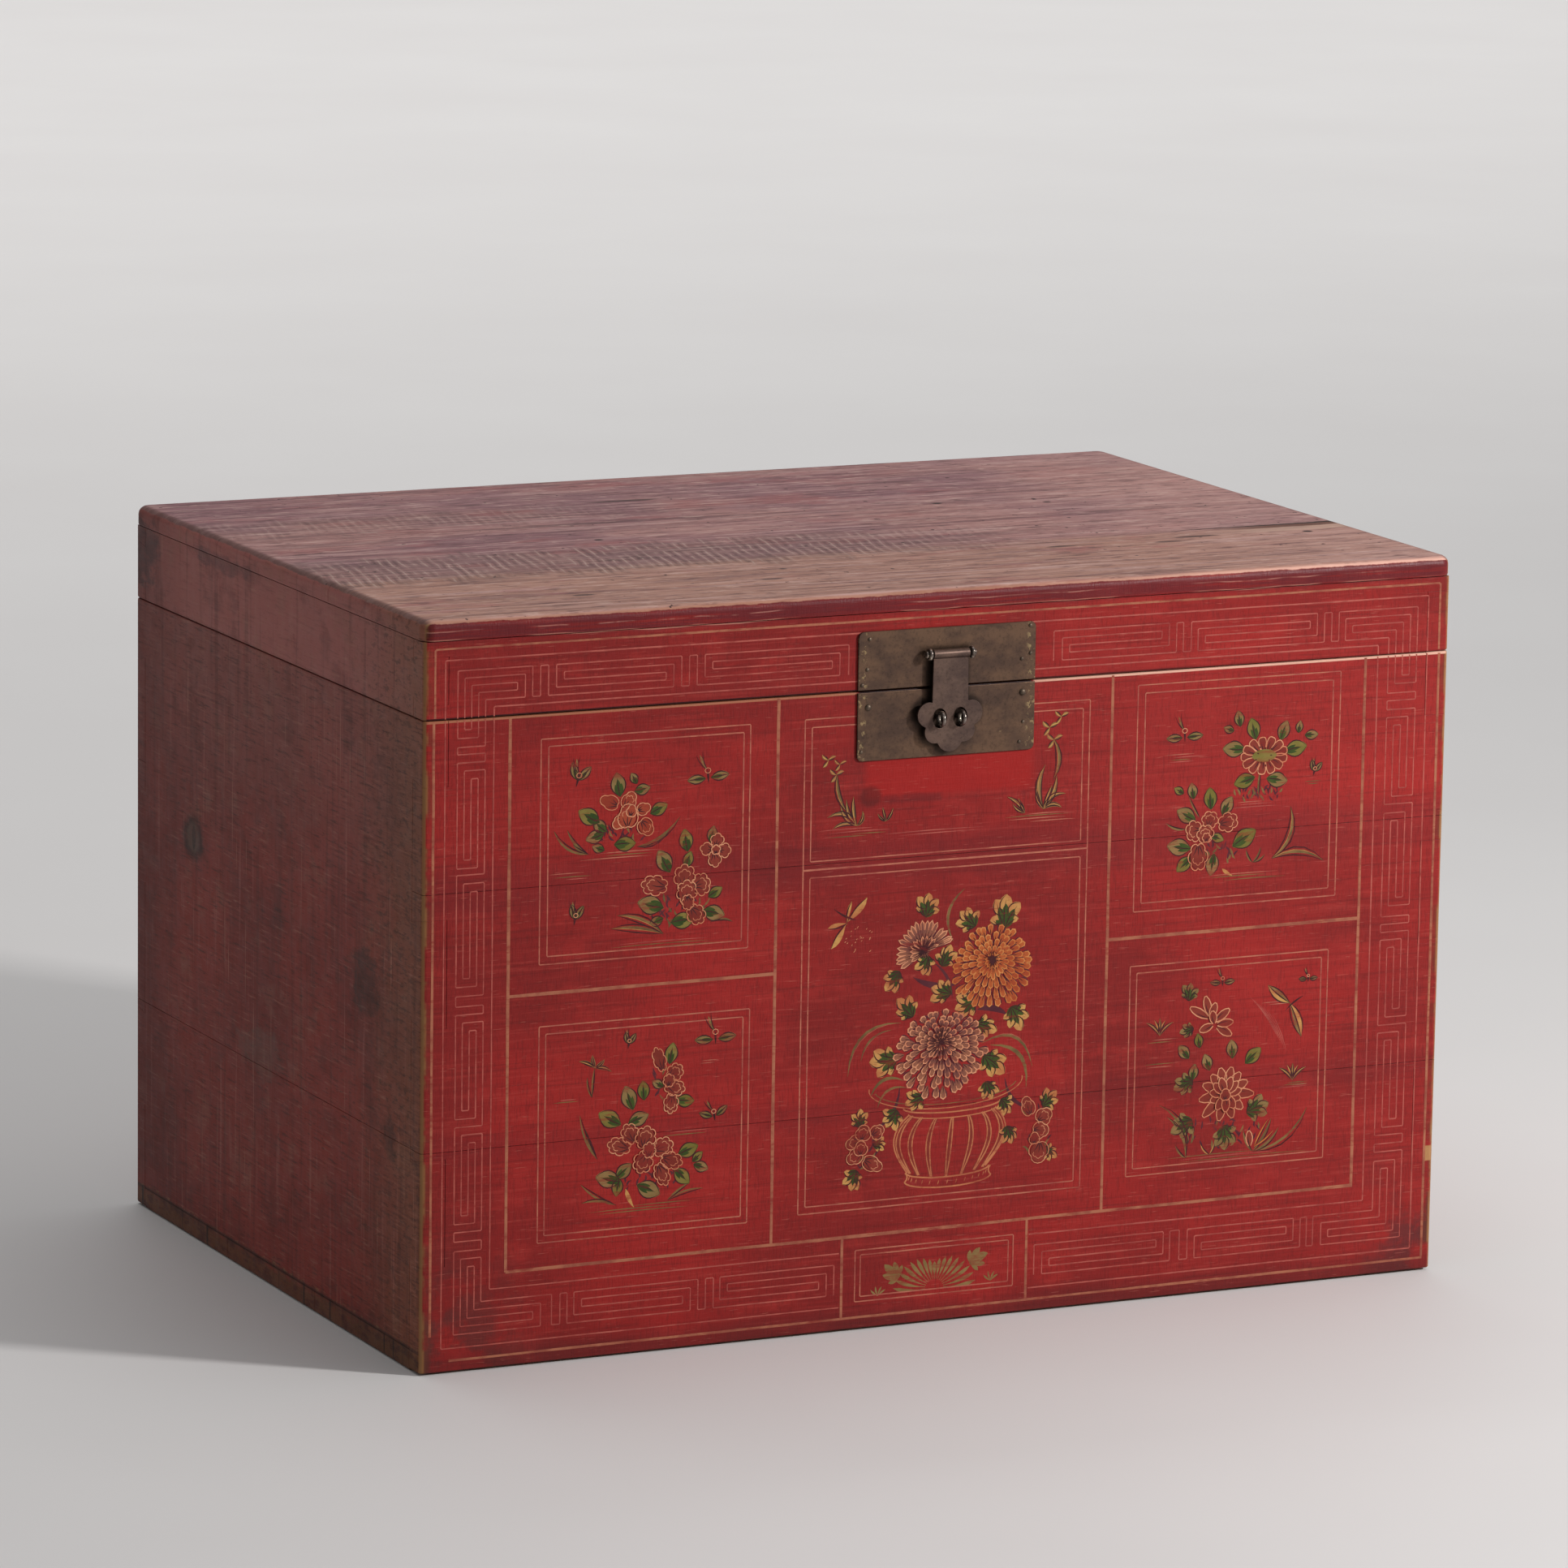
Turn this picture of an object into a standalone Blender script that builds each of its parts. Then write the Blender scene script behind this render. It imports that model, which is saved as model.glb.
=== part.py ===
"""Painted storage chest: dovetailed plank case, hinged box lid and a swinging lock hasp.

Metres, +Z up. The front faces -Y, +X is the right of someone facing the front, and the
case is centred on the Z axis with its underside on Z = 0.
"""

import math

import bmesh
import bpy
from mathutils import Matrix, Vector

# Outside sizes of the case
CASE_WIDTH = 0.880
CASE_DEPTH = 0.5965
SEAM_HEIGHT = 0.5045
LID_HEIGHT = 0.0761

# Board thicknesses and the small steps between boards
WALL = 0.020
BOTTOM = 0.017
TOP = 0.016
TOP_OVERHANG = 0.001
FOOT_STEP = 0.002
LID_GAP = 0.0006
JOINT_GAP = 0.0003

# Worn roundings
CORNER_ROUND = 0.004
RIM_ROUND = 0.0015
FOOT_ROUND = 0.003
TOP_EDGE_ROUND = 0.007
TOP_CORNER_ROUND = 0.010

# Dovetails of the case, and how far each plank seam lies above the tail below it
TAIL_START = 0.088
TAIL_HEIGHT = 0.075
TAIL_PITCH = 0.185
TAIL_FLARE = 0.004
LOW_SEAM_RISE = 0.010
HIGH_SEAM_RISE = 0.024
LID_TAIL_HEIGHT = 0.028

# Planks of the bottom and of the lid's top, as shares of the depth from the front
BOTTOM_SHARES = (0.0, 0.34, 0.67, 1.0)
TOP_SHARES = (0.0, 0.313, 0.70, 1.0)

# Cross battens under the lid's top
BATTEN_X = 0.230
BATTEN_WIDTH = 0.032
BATTEN_DEPTH = 0.014

# Lock plates on the front
LOCK_X = -0.0045
PLATE_WIDTH = 0.152
PLATE = 0.0016
UPPER_PLATE_HEIGHT = 0.046
LOWER_PLATE_HEIGHT = 0.054
PLATE_ROUND = 0.0045

# Hasp, its pin and the pair of eyes that hold the pin
PIN_RISE = 0.0265
PIN_RADIUS = 0.0018
PIN_HEAD = 0.0028
PIN_HEAD_LENGTH = 0.0018
EYE_WIRE = 0.0014
EYE_SPACING = 0.036
HASP = 0.0020
HASP_NECK = 0.0295
KNUCKLE_WALL = 0.0015

# Hasp end: lobes round the staple holes as x, z from their centre line and a radius
SIDE_LOBE = (0.0180, 0.0030, 0.0098)
LOW_LOBE = (0.0125, -0.0105, 0.0090)
TIP_LOBE = (0.0, -0.0155, 0.0110)
HASP_HOLE_WIDTH = 0.0120
HASP_HOLE_HEIGHT = 0.0156

# Staples that stand through the hasp
STAPLE_DROP = 0.0235
STAPLE_SPACING = 0.0176
STAPLE_RADIUS = 0.0047
STAPLE_WIRE = 0.0016
SHANK_DEPTH = 0.012

# Plate hinges on the back
HINGE_X = 0.260
HINGE_WIDTH = 0.066
HINGE_LEAF = 0.044
HINGE_KNUCKLE = 0.0036
HINGE_PIN = 0.0018

# Room between pieces that move past each other, and between a fitting and its seat
RUN_GAP = 0.0003
SIDE_PLAY = 0.0005
SEAT_GAP = 0.0003
TRIM = 0.001

# Derived levels and planes
HALF_WIDTH = CASE_WIDTH / 2
HALF_DEPTH = CASE_DEPTH / 2
INNER_DEPTH = HALF_DEPTH - WALL
CASE_HEIGHT = SEAM_HEIGHT + LID_HEIGHT
BASE_TOP = SEAM_HEIGHT - LID_GAP / 2
LID_LOW = SEAM_HEIGHT + LID_GAP / 2
TOP_LOW = CASE_HEIGHT - TOP
RAIL_TOP = TOP_LOW - JOINT_GAP
SIDE_LOW = BOTTOM + JOINT_GAP
PLATE_BACK = -HALF_DEPTH - SEAT_GAP
PLATE_FACE = PLATE_BACK - PLATE
EYE_RADIUS = PIN_RADIUS + RUN_GAP + EYE_WIRE
PIN_Y = PLATE_FACE - EYE_RADIUS - EYE_WIRE - SEAT_GAP
PIN_Z = SEAM_HEIGHT + PIN_RISE
KNUCKLE = PIN_RADIUS + RUN_GAP + KNUCKLE_WALL
STAPLE_Z = SEAM_HEIGHT - STAPLE_DROP
STAPLE_Y = PIN_Y - HASP / 2 - (STAPLE_RADIUS - STAPLE_WIRE) + RUN_GAP
AXIS_Y = HALF_DEPTH + SEAT_GAP + HINGE_KNUCKLE + PLATE / 8

# Finishes: red, green, blue, metallic, roughness
RED_LACQUER = (0.33, 0.030, 0.026, 0.0, 0.45)
DARK_LACQUER = (0.085, 0.026, 0.020, 0.0, 0.55)
FADED_TOP = (0.21, 0.115, 0.095, 0.0, 0.70)
BARE_WOOD = (0.27, 0.16, 0.085, 0.0, 0.80)
AGED_BRASS = (0.13, 0.085, 0.055, 0.85, 0.45)

# Turns a flat outline drawn in X, Y so that it lies across another axis
ACROSS_X = Matrix(((0, 0, 1), (1, 0, 0), (0, 1, 0))).to_4x4()
ACROSS_Y = Matrix(((1, 0, 0), (0, 0, -1), (0, 1, 0))).to_4x4()


def fresh_collection(name, hidden=False):
    """Return a new collection in the scene; a hidden one holds the cutting shapes."""
    collection = bpy.data.collections.new(name)
    collection.hide_render = hidden
    bpy.context.scene.collection.children.link(collection)
    return collection


for old in list(bpy.data.objects):
    bpy.data.objects.remove(old, do_unlink=True)
PARTS = fresh_collection("painted_chest")
CUTTERS = fresh_collection("cutting_shapes", hidden=True)


def place(name, bm, collection):
    """Turn a bmesh into a named object of the collection and return it."""
    bm.normal_update()
    bmesh.ops.recalc_face_normals(bm, faces=bm.faces)
    mesh = bpy.data.meshes.new(name)
    bm.to_mesh(mesh)
    bm.free()
    piece = bpy.data.objects.new(name, mesh)
    collection.objects.link(piece)
    if collection is CUTTERS:
        piece.display_type = "WIRE"
        piece.hide_render = True
    return piece


def finish(piece, look):
    """Give a piece a material of its own with the colour, metallic and roughness of a finish."""
    material = bpy.data.materials.new(piece.name + "_finish")
    material.use_nodes = True
    shader = material.node_tree.nodes["Principled BSDF"]
    shader.inputs["Base Color"].default_value = (*look[:3], 1.0)
    shader.inputs["Metallic"].default_value = look[3]
    shader.inputs["Roughness"].default_value = look[4]
    piece.data.materials.append(material)
    return piece


def add_box(bm, low, high):
    """Add a box between two corners to a bmesh and return its vertices."""
    low, high = Vector(low), Vector(high)
    size = Matrix.Diagonal((high - low).to_4d())
    size[3][3] = 1.0
    return bmesh.ops.create_cube(bm, size=1.0, matrix=Matrix.Translation((low + high) / 2) @ size)["verts"]


def box(name, low, high, collection=None):
    """Return a plain box between two corners."""
    bm = bmesh.new()
    add_box(bm, low, high)
    return place(name, bm, collection or PARTS)


def round_edges(piece, width, segments, chosen):
    """Round the edges for which chosen(middle, direction) is true."""
    bm = bmesh.new()
    bm.from_mesh(piece.data)
    edges = []
    for edge in bm.edges:
        first, last = edge.verts
        if chosen((first.co + last.co) / 2, (last.co - first.co).normalized()):
            edges.append(edge)
    bmesh.ops.bevel(bm, geom=edges, offset=width, segments=segments, profile=0.5, affect="EDGES")
    bm.to_mesh(piece.data)
    bm.free()
    return piece


def outline(name, points, thickness, turn, collection=None):
    """Return a slab of even thickness with a flat outline, turned into place."""
    curve = bpy.data.curves.new(name + "_outline", "CURVE")
    curve.dimensions = "2D"
    curve.fill_mode = "BOTH"
    curve.extrude = thickness / 2
    spline = curve.splines.new("POLY")
    spline.points.add(len(points) - 1)
    for point, (across, up) in zip(spline.points, points):
        point.co = (across, up, 0.0, 1.0)
    spline.use_cyclic_u = True
    drawn = bpy.data.objects.new(name + "_outline", curve)
    CUTTERS.objects.link(drawn)
    seen = drawn.evaluated_get(bpy.context.evaluated_depsgraph_get())
    mesh = bpy.data.meshes.new_from_object(seen)
    bm = bmesh.new()
    bm.from_mesh(mesh)
    bmesh.ops.remove_doubles(bm, verts=bm.verts, dist=0.00001)
    bmesh.ops.transform(bm, matrix=turn, verts=bm.verts)
    bpy.data.objects.remove(drawn, do_unlink=True)
    bpy.data.meshes.remove(mesh)
    return place(name, bm, collection or PARTS)


def rod(name, start, end, radius, segments=20, collection=None, squash=1.0):
    """Return a round bar between two points; squash widens or narrows it across X."""
    start, end = Vector(start), Vector(end)
    turn = (end - start).to_track_quat("Z", "Y").to_matrix().to_4x4()
    narrow = Matrix.Diagonal((squash, 1.0, 1.0, 1.0))
    bm = bmesh.new()
    bmesh.ops.create_cone(
        bm, cap_ends=True, segments=segments, radius1=radius, radius2=radius, depth=(end - start).length
    )
    bmesh.ops.transform(bm, matrix=turn, verts=bm.verts)
    bmesh.ops.transform(bm, matrix=narrow, verts=bm.verts)
    bmesh.ops.translate(bm, verts=bm.verts, vec=(start + end) / 2)
    return place(name, bm, collection or PARTS)


def headed_pin(name, middle, length, radius):
    """Return a pin along X with a domed head past each end of its length."""
    half = length / 2
    profile = [(-half - PIN_HEAD_LENGTH, 0.0), (-half - PIN_HEAD_LENGTH, PIN_HEAD * 0.55)]
    profile += [(-half - PIN_HEAD_LENGTH * 0.55, PIN_HEAD), (-half, PIN_HEAD), (-half, radius)]
    profile += [(-along, out) for along, out in reversed(profile)]
    bm = bmesh.new()
    chain = [bm.verts.new((along, out, 0.0)) for along, out in profile]
    links = [bm.edges.new(pair) for pair in zip(chain, chain[1:])]
    bmesh.ops.spin(
        bm, geom=chain + links, cent=(0, 0, 0), axis=(1, 0, 0), angle=math.tau, steps=20, use_duplicate=False
    )
    bmesh.ops.remove_doubles(bm, verts=bm.verts, dist=0.00001)
    bmesh.ops.translate(bm, verts=bm.verts, vec=middle)
    return place(name, bm, PARTS)


def combine(piece, other, operation):
    """Add a Boolean of a cutting shape to a piece."""
    step = piece.modifiers.new(other.name, "BOOLEAN")
    step.solver = "EXACT"
    step.operation = operation
    step.object = other
    return piece


def eye(name, middle, radius, wire):
    """Return a wire ring across X with a shank that runs back into the board behind it."""
    bpy.ops.mesh.primitive_torus_add(
        major_segments=24, minor_segments=10, major_radius=radius, minor_radius=wire,
        location=(0, 0, 0), rotation=(0, 0, 0),
    )
    piece = bpy.context.object
    piece.name = name
    piece.data.name = name
    for holder in list(piece.users_collection):
        holder.objects.unlink(piece)
    PARTS.objects.link(piece)
    turn = Matrix.Translation(middle) @ Matrix.Rotation(math.pi / 2, 4, "Y")
    piece.data.transform(turn)
    start = middle + Vector((0, radius, 0))
    end = Vector((middle.x, -HALF_DEPTH + SHANK_DEPTH, middle.z))
    shank = rod(name + "_shank", start, end, wire, 12, CUTTERS)
    return combine(piece, shank, "UNION")


def shank_hole(name, middle, wire):
    """Return the cutting shape of the hole that an eye's shank sits in."""
    start = Vector((middle.x, PLATE_FACE - TRIM, middle.z))
    end = Vector((middle.x, -HALF_DEPTH + SHANK_DEPTH + JOINT_GAP, middle.z))
    return rod(name, start, end, wire + SEAT_GAP, 12, CUTTERS)


# Cutting shapes that give the joined boards one worn outside

def envelope(name, low_z, high_z, low_round):
    """Return the rounded outside of a board case between two levels."""
    shape = box(name, (-HALF_WIDTH, -HALF_DEPTH, low_z), (HALF_WIDTH, HALF_DEPTH, high_z), CUTTERS)
    round_edges(shape, CORNER_ROUND, 3, lambda middle, way: abs(way.z) > 0.9)
    if low_round:
        round_edges(shape, low_round, 2, lambda middle, way: abs(way.z) < 0.1 and middle.z < low_z + TRIM / 10)
    return shape


# Dovetails shared by the side boards and the sockets in the front and back boards

def tail_levels(first, height, pitch, limit):
    """Return the (low, high) levels of the tails that start under a limit."""
    levels = []
    low = first
    while low + height / 3 < limit:
        levels.append((low, low + height))
        low += pitch
    return levels


def flared(level, way, depth):
    """Return a tail's edge level at a depth, where the tail widens towards its tip."""
    return level + way * TAIL_FLARE * (depth - INNER_DEPTH) / WALL


def side_outline(low_z, high_z, tails):
    """Return the Y, Z outline of a side plank with its tails at both ends."""
    root = INNER_DEPTH - JOINT_GAP
    tip = HALF_DEPTH + TRIM
    edge = [(root, low_z)]
    open_top = False
    for low, high in tails:
        if not low_z <= low < high_z:
            continue
        edge += [(root, flared(low, -1, root)), (tip, flared(low, -1, tip))]
        if flared(high, 1, tip) >= high_z:
            edge.append((tip, high_z))
            open_top = True
            break
        edge += [(tip, flared(high, 1, tip)), (root, flared(high, 1, root))]
    if not open_top:
        edge.append((root, high_z))
    return edge + [(-depth, level) for depth, level in reversed(edge)]


def sockets(name, side, end, tails):
    """Return the cutting shape of the sockets at one corner; side and end are signs in X and Y."""
    inner = HALF_WIDTH - WALL - JOINT_GAP
    bm = bmesh.new()
    for low, high in tails:
        corners = add_box(bm, (-1, -1, -1), (1, 1, 1))
        for corner in corners:
            depth = HALF_DEPTH + 2 * TRIM if corner.co.y > 0 else INNER_DEPTH - 2 * TRIM
            level = flared(high, 1, depth) + JOINT_GAP if corner.co.z > 0 else flared(low, -1, depth) - JOINT_GAP
            corner.co.x = side * (HALF_WIDTH + 2 * TRIM if corner.co.x > 0 else inner)
            corner.co.y = end * depth
            corner.co.z = level
    return place(name, bm, CUTTERS)


def spans(levels):
    """Return the (low, high) pairs between levels, with a joint gap at each inner one."""
    pairs = []
    for index, (low, high) in enumerate(zip(levels, levels[1:])):
        low_gap = JOINT_GAP / 2 if index else 0.0
        high_gap = JOINT_GAP / 2 if index < len(levels) - 2 else 0.0
        pairs.append((low + low_gap, high - high_gap))
    return pairs


def long_planks(label, end, names, levels, cutters, shape, look):
    """Build the planks of a front (end -1) or back (end 1) wall, socketed and trimmed."""
    planks = []
    for name, (low, high) in zip(names, spans(levels)):
        near, far = sorted((end * INNER_DEPTH, end * (HALF_DEPTH + TRIM)))
        plank = box(label + name, (-HALF_WIDTH - TRIM, near, low), (HALF_WIDTH + TRIM, far, high))
        for cutter in cutters:
            combine(plank, cutter, "DIFFERENCE")
        combine(plank, shape, "INTERSECT")
        planks.append(finish(plank, look))
    return planks


def side_planks(label, side, names, levels, tails, shape, look):
    """Build the planks of a left (side -1) or right (side 1) wall with tails, trimmed."""
    planks = []
    thickness = WALL + TRIM
    for name, (low, high) in zip(names, spans(levels)):
        turn = Matrix.Translation((side * (HALF_WIDTH - WALL + thickness / 2), 0, 0)) @ ACROSS_X
        plank = outline(label + name, side_outline(low, high, tails), thickness, turn)
        combine(plank, shape, "INTERSECT")
        planks.append(finish(plank, look))
    return planks


# Case: front, back, two sides and the bottom

case_shape = envelope("case_outside", 0.0, BASE_TOP, FOOT_ROUND)
round_edges(case_shape, RIM_ROUND, 2, lambda middle, way: abs(way.z) < 0.1 and middle.z > BASE_TOP - TRIM / 10)
case_tails = tail_levels(TAIL_START, TAIL_HEIGHT, TAIL_PITCH, BASE_TOP)
low_seam = case_tails[0][1] + LOW_SEAM_RISE
high_seam = case_tails[1][1] + HIGH_SEAM_RISE
wall_levels = (FOOT_STEP, low_seam, high_seam, BASE_TOP + TRIM)
side_levels = (SIDE_LOW, low_seam, BASE_TOP + TRIM)

base_parts = []
walls = {}
for wall, end_sign in (("front_plank_", -1), ("back_plank_", 1)):
    corner_cutters = []
    for hand, side_sign in (("left", -1), ("right", 1)):
        corner_cutters.append(sockets(wall + hand + "_sockets", side_sign, end_sign, case_tails))
    wall_look = RED_LACQUER if end_sign < 0 else DARK_LACQUER
    walls[wall] = long_planks(
        wall, end_sign, ("lower", "middle", "upper"), wall_levels, corner_cutters, case_shape, wall_look
    )
    base_parts += walls[wall]
for wall, side_sign in (("left_plank_", -1), ("right_plank_", 1)):
    base_parts += side_planks(
        wall, side_sign, ("lower", "upper"), side_levels, case_tails, case_shape, DARK_LACQUER
    )

bottom_depth = 2 * (INNER_DEPTH - JOINT_GAP)
bottom_edges = [share * bottom_depth - bottom_depth / 2 for share in BOTTOM_SHARES]
for name, (near, far) in zip(("front", "middle", "rear"), spans(bottom_edges)):
    plank = box(
        "bottom_plank_" + name, (-HALF_WIDTH - TRIM, near, -TRIM), (HALF_WIDTH + TRIM, far, BOTTOM)
    )
    combine(plank, case_shape, "INTERSECT")
    base_parts.append(finish(plank, BARE_WOOD))

# Lid: four rails, three top planks and two battens

lid_shape = envelope("lid_outside", LID_LOW, RAIL_TOP, RIM_ROUND)
lid_tail_low = (LID_LOW + RAIL_TOP - LID_TAIL_HEIGHT) / 2
lid_tails = [(lid_tail_low, lid_tail_low + LID_TAIL_HEIGHT)]
rail_levels = (LID_LOW - TRIM, RAIL_TOP + TRIM)

lid_parts = []
for wall, end_sign in (("lid_front", -1), ("lid_back", 1)):
    corner_cutters = []
    for hand, side_sign in (("left", -1), ("right", 1)):
        corner_cutters.append(sockets(wall + "_" + hand + "_sockets", side_sign, end_sign, lid_tails))
    rail_look = RED_LACQUER if end_sign < 0 else DARK_LACQUER
    walls[wall] = long_planks(wall, end_sign, ("_rail",), rail_levels, corner_cutters, lid_shape, rail_look)
    lid_parts += walls[wall]
for wall, side_sign in (("lid_left", -1), ("lid_right", 1)):
    lid_parts += side_planks(wall, side_sign, ("_rail",), rail_levels, lid_tails, lid_shape, DARK_LACQUER)

top_width = HALF_WIDTH + TOP_OVERHANG
top_depth = HALF_DEPTH + TOP_OVERHANG
top_shape = box(
    "top_outside", (-top_width, -top_depth, TOP_LOW), (top_width, top_depth, CASE_HEIGHT), CUTTERS
)
round_edges(top_shape, TOP_CORNER_ROUND, 4, lambda middle, way: abs(way.z) > 0.9)
round_edges(
    top_shape, TOP_EDGE_ROUND, 4, lambda middle, way: abs(way.z) < 0.1 and middle.z > CASE_HEIGHT - TRIM / 10
)
round_edges(
    top_shape, RIM_ROUND, 2, lambda middle, way: abs(way.z) < 0.1 and middle.z < TOP_LOW + TRIM / 10
)
top_edges = [share * 2 * top_depth - top_depth for share in TOP_SHARES]
top_edges[0] -= TRIM
top_edges[-1] += TRIM
for name, (near, far) in zip(("front", "middle", "rear"), spans(top_edges)):
    plank = box(
        "lid_plank_" + name,
        (-top_width - TRIM, near, TOP_LOW - TRIM),
        (top_width + TRIM, far, CASE_HEIGHT + TRIM),
    )
    combine(plank, top_shape, "INTERSECT")
    lid_parts.append(finish(plank, FADED_TOP))

for hand, side_sign in (("left", -1), ("right", 1)):
    middle_x = side_sign * BATTEN_X
    batten = box(
        "lid_batten_" + hand,
        (middle_x - BATTEN_WIDTH / 2, -INNER_DEPTH + JOINT_GAP, RAIL_TOP - BATTEN_DEPTH),
        (middle_x + BATTEN_WIDTH / 2, INNER_DEPTH - JOINT_GAP, RAIL_TOP),
    )
    round_edges(batten, RIM_ROUND, 1, lambda middle, way: abs(way.y) > 0.9 and middle.z < TOP_LOW - BATTEN_DEPTH / 2)
    lid_parts.append(finish(batten, BARE_WOOD))

# Lock plates, nailed flat to the lid's front rail and the case's top plank

plate_low_x = LOCK_X - PLATE_WIDTH / 2
plate_high_x = LOCK_X + PLATE_WIDTH / 2
upper_plate = box(
    "lock_plate_upper",
    (plate_low_x, PLATE_FACE, LID_LOW + RIM_ROUND / 2),
    (plate_high_x, PLATE_BACK, LID_LOW + UPPER_PLATE_HEIGHT),
)
round_edges(
    upper_plate, PLATE_ROUND, 4, lambda middle, way: abs(way.y) > 0.9 and middle.z > LID_LOW + UPPER_PLATE_HEIGHT / 2
)
lower_plate = box(
    "lock_plate_lower",
    (plate_low_x, PLATE_FACE, BASE_TOP - LOWER_PLATE_HEIGHT),
    (plate_high_x, PLATE_BACK, BASE_TOP - RIM_ROUND / 2),
)
round_edges(
    lower_plate, PLATE_ROUND, 4, lambda middle, way: abs(way.y) > 0.9 and middle.z < BASE_TOP - LOWER_PLATE_HEIGHT / 2
)
for plate in (upper_plate, lower_plate):
    round_edges(plate, PLATE / 4, 1, lambda middle, way: abs(way.y) < 0.1 and middle.y < PLATE_BACK - PLATE / 2)
    finish(plate, AGED_BRASS)

# Eyes and staples with their shanks in the boards

for hand, side_sign in (("left", -1), ("right", 1)):
    eye_at = Vector((LOCK_X + side_sign * EYE_SPACING / 2, PIN_Y, PIN_Z))
    hole = shank_hole("hasp_eye_hole_" + hand, eye_at, EYE_WIRE)
    combine(upper_plate, hole, "DIFFERENCE")
    combine(walls["lid_front"][0], hole, "DIFFERENCE")
    lid_parts.append(finish(eye("hasp_eye_" + hand, eye_at, EYE_RADIUS, EYE_WIRE), AGED_BRASS))
    staple_at = Vector((LOCK_X + side_sign * STAPLE_SPACING / 2, STAPLE_Y, STAPLE_Z))
    hole = shank_hole("staple_hole_" + hand, staple_at, STAPLE_WIRE)
    combine(lower_plate, hole, "DIFFERENCE")
    combine(walls["front_plank_"][-1], hole, "DIFFERENCE")
    base_parts.append(finish(eye("staple_" + hand, staple_at, STAPLE_RADIUS, STAPLE_WIRE), AGED_BRASS))
base_parts.append(lower_plate)
lid_parts.append(upper_plate)

# Hasp pin, held by the two eyes

pin_length = EYE_SPACING + 2 * (EYE_WIRE + SIDE_PLAY)
hasp_pin = headed_pin("hasp_pin", (LOCK_X, PIN_Y, PIN_Z), pin_length, PIN_RADIUS)
lid_parts.append(finish(hasp_pin, AGED_BRASS))

# Hasp: rolled knuckle, neck and lobed end with two staple holes


def lobe_reach(angle):
    """Return how far the lobed end reaches from the middle of its holes at an angle."""
    ray = Vector((math.cos(angle), math.sin(angle)))
    reach = 0.0
    for across, up, radius in (SIDE_LOBE, LOW_LOBE, TIP_LOBE):
        for side in (-1, 1):
            middle = Vector((side * across, up))
            along = middle.dot(ray)
            rest = radius**2 - middle.length_squared + along**2
            if rest > 0:
                reach = max(reach, along + math.sqrt(rest))
    return reach


def hasp_outline():
    """Return the hasp's X, Z outline, from the neck's top right round the lobes to its top left."""
    steps = 120
    half = HASP_NECK / 2
    points = [(half, PIN_Z - STAPLE_Z)]
    for step in range(steps + 1):
        angle = math.pi / 2 - math.tau * step / steps
        reach = lobe_reach(angle)
        across = reach * math.cos(angle)
        up = reach * math.sin(angle)
        if abs(across) > half or up < 0:
            points.append((across, up))
    points.append((-half, PIN_Z - STAPLE_Z))
    return [(LOCK_X + across, STAPLE_Z + up) for across, up in points]


hasp = outline("hasp", hasp_outline(), HASP, Matrix.Translation((0, PIN_Y, 0)) @ ACROSS_Y)
barrel_left = Vector((LOCK_X - HASP_NECK / 2, PIN_Y, PIN_Z))
barrel_right = Vector((LOCK_X + HASP_NECK / 2, PIN_Y, PIN_Z))
overrun = Vector((0.002, 0, 0))
combine(hasp, rod("hasp_knuckle", barrel_left - overrun / 4, barrel_right + overrun / 4, KNUCKLE, 20, CUTTERS), "UNION")
hasp_bore = rod("hasp_bore", barrel_left - overrun, barrel_right + overrun, PIN_RADIUS + RUN_GAP, 20, CUTTERS)
combine(hasp, hasp_bore, "DIFFERENCE")
for hand, side_sign in (("left", -1), ("right", 1)):
    hole_at = Vector((LOCK_X + side_sign * STAPLE_SPACING / 2, PIN_Y, STAPLE_Z))
    past = Vector((0, 2 * HASP, 0))
    hole = rod(
        "hasp_hole_" + hand, hole_at - past, hole_at + past, HASP_HOLE_HEIGHT / 2, 20, CUTTERS,
        squash=HASP_HOLE_WIDTH / HASP_HOLE_HEIGHT,
    )
    combine(hasp, hole, "DIFFERENCE")
finish(hasp, AGED_BRASS)

# Plate hinges: the lower leaf carries two knuckles and the pin, the upper leaf the one between

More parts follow.
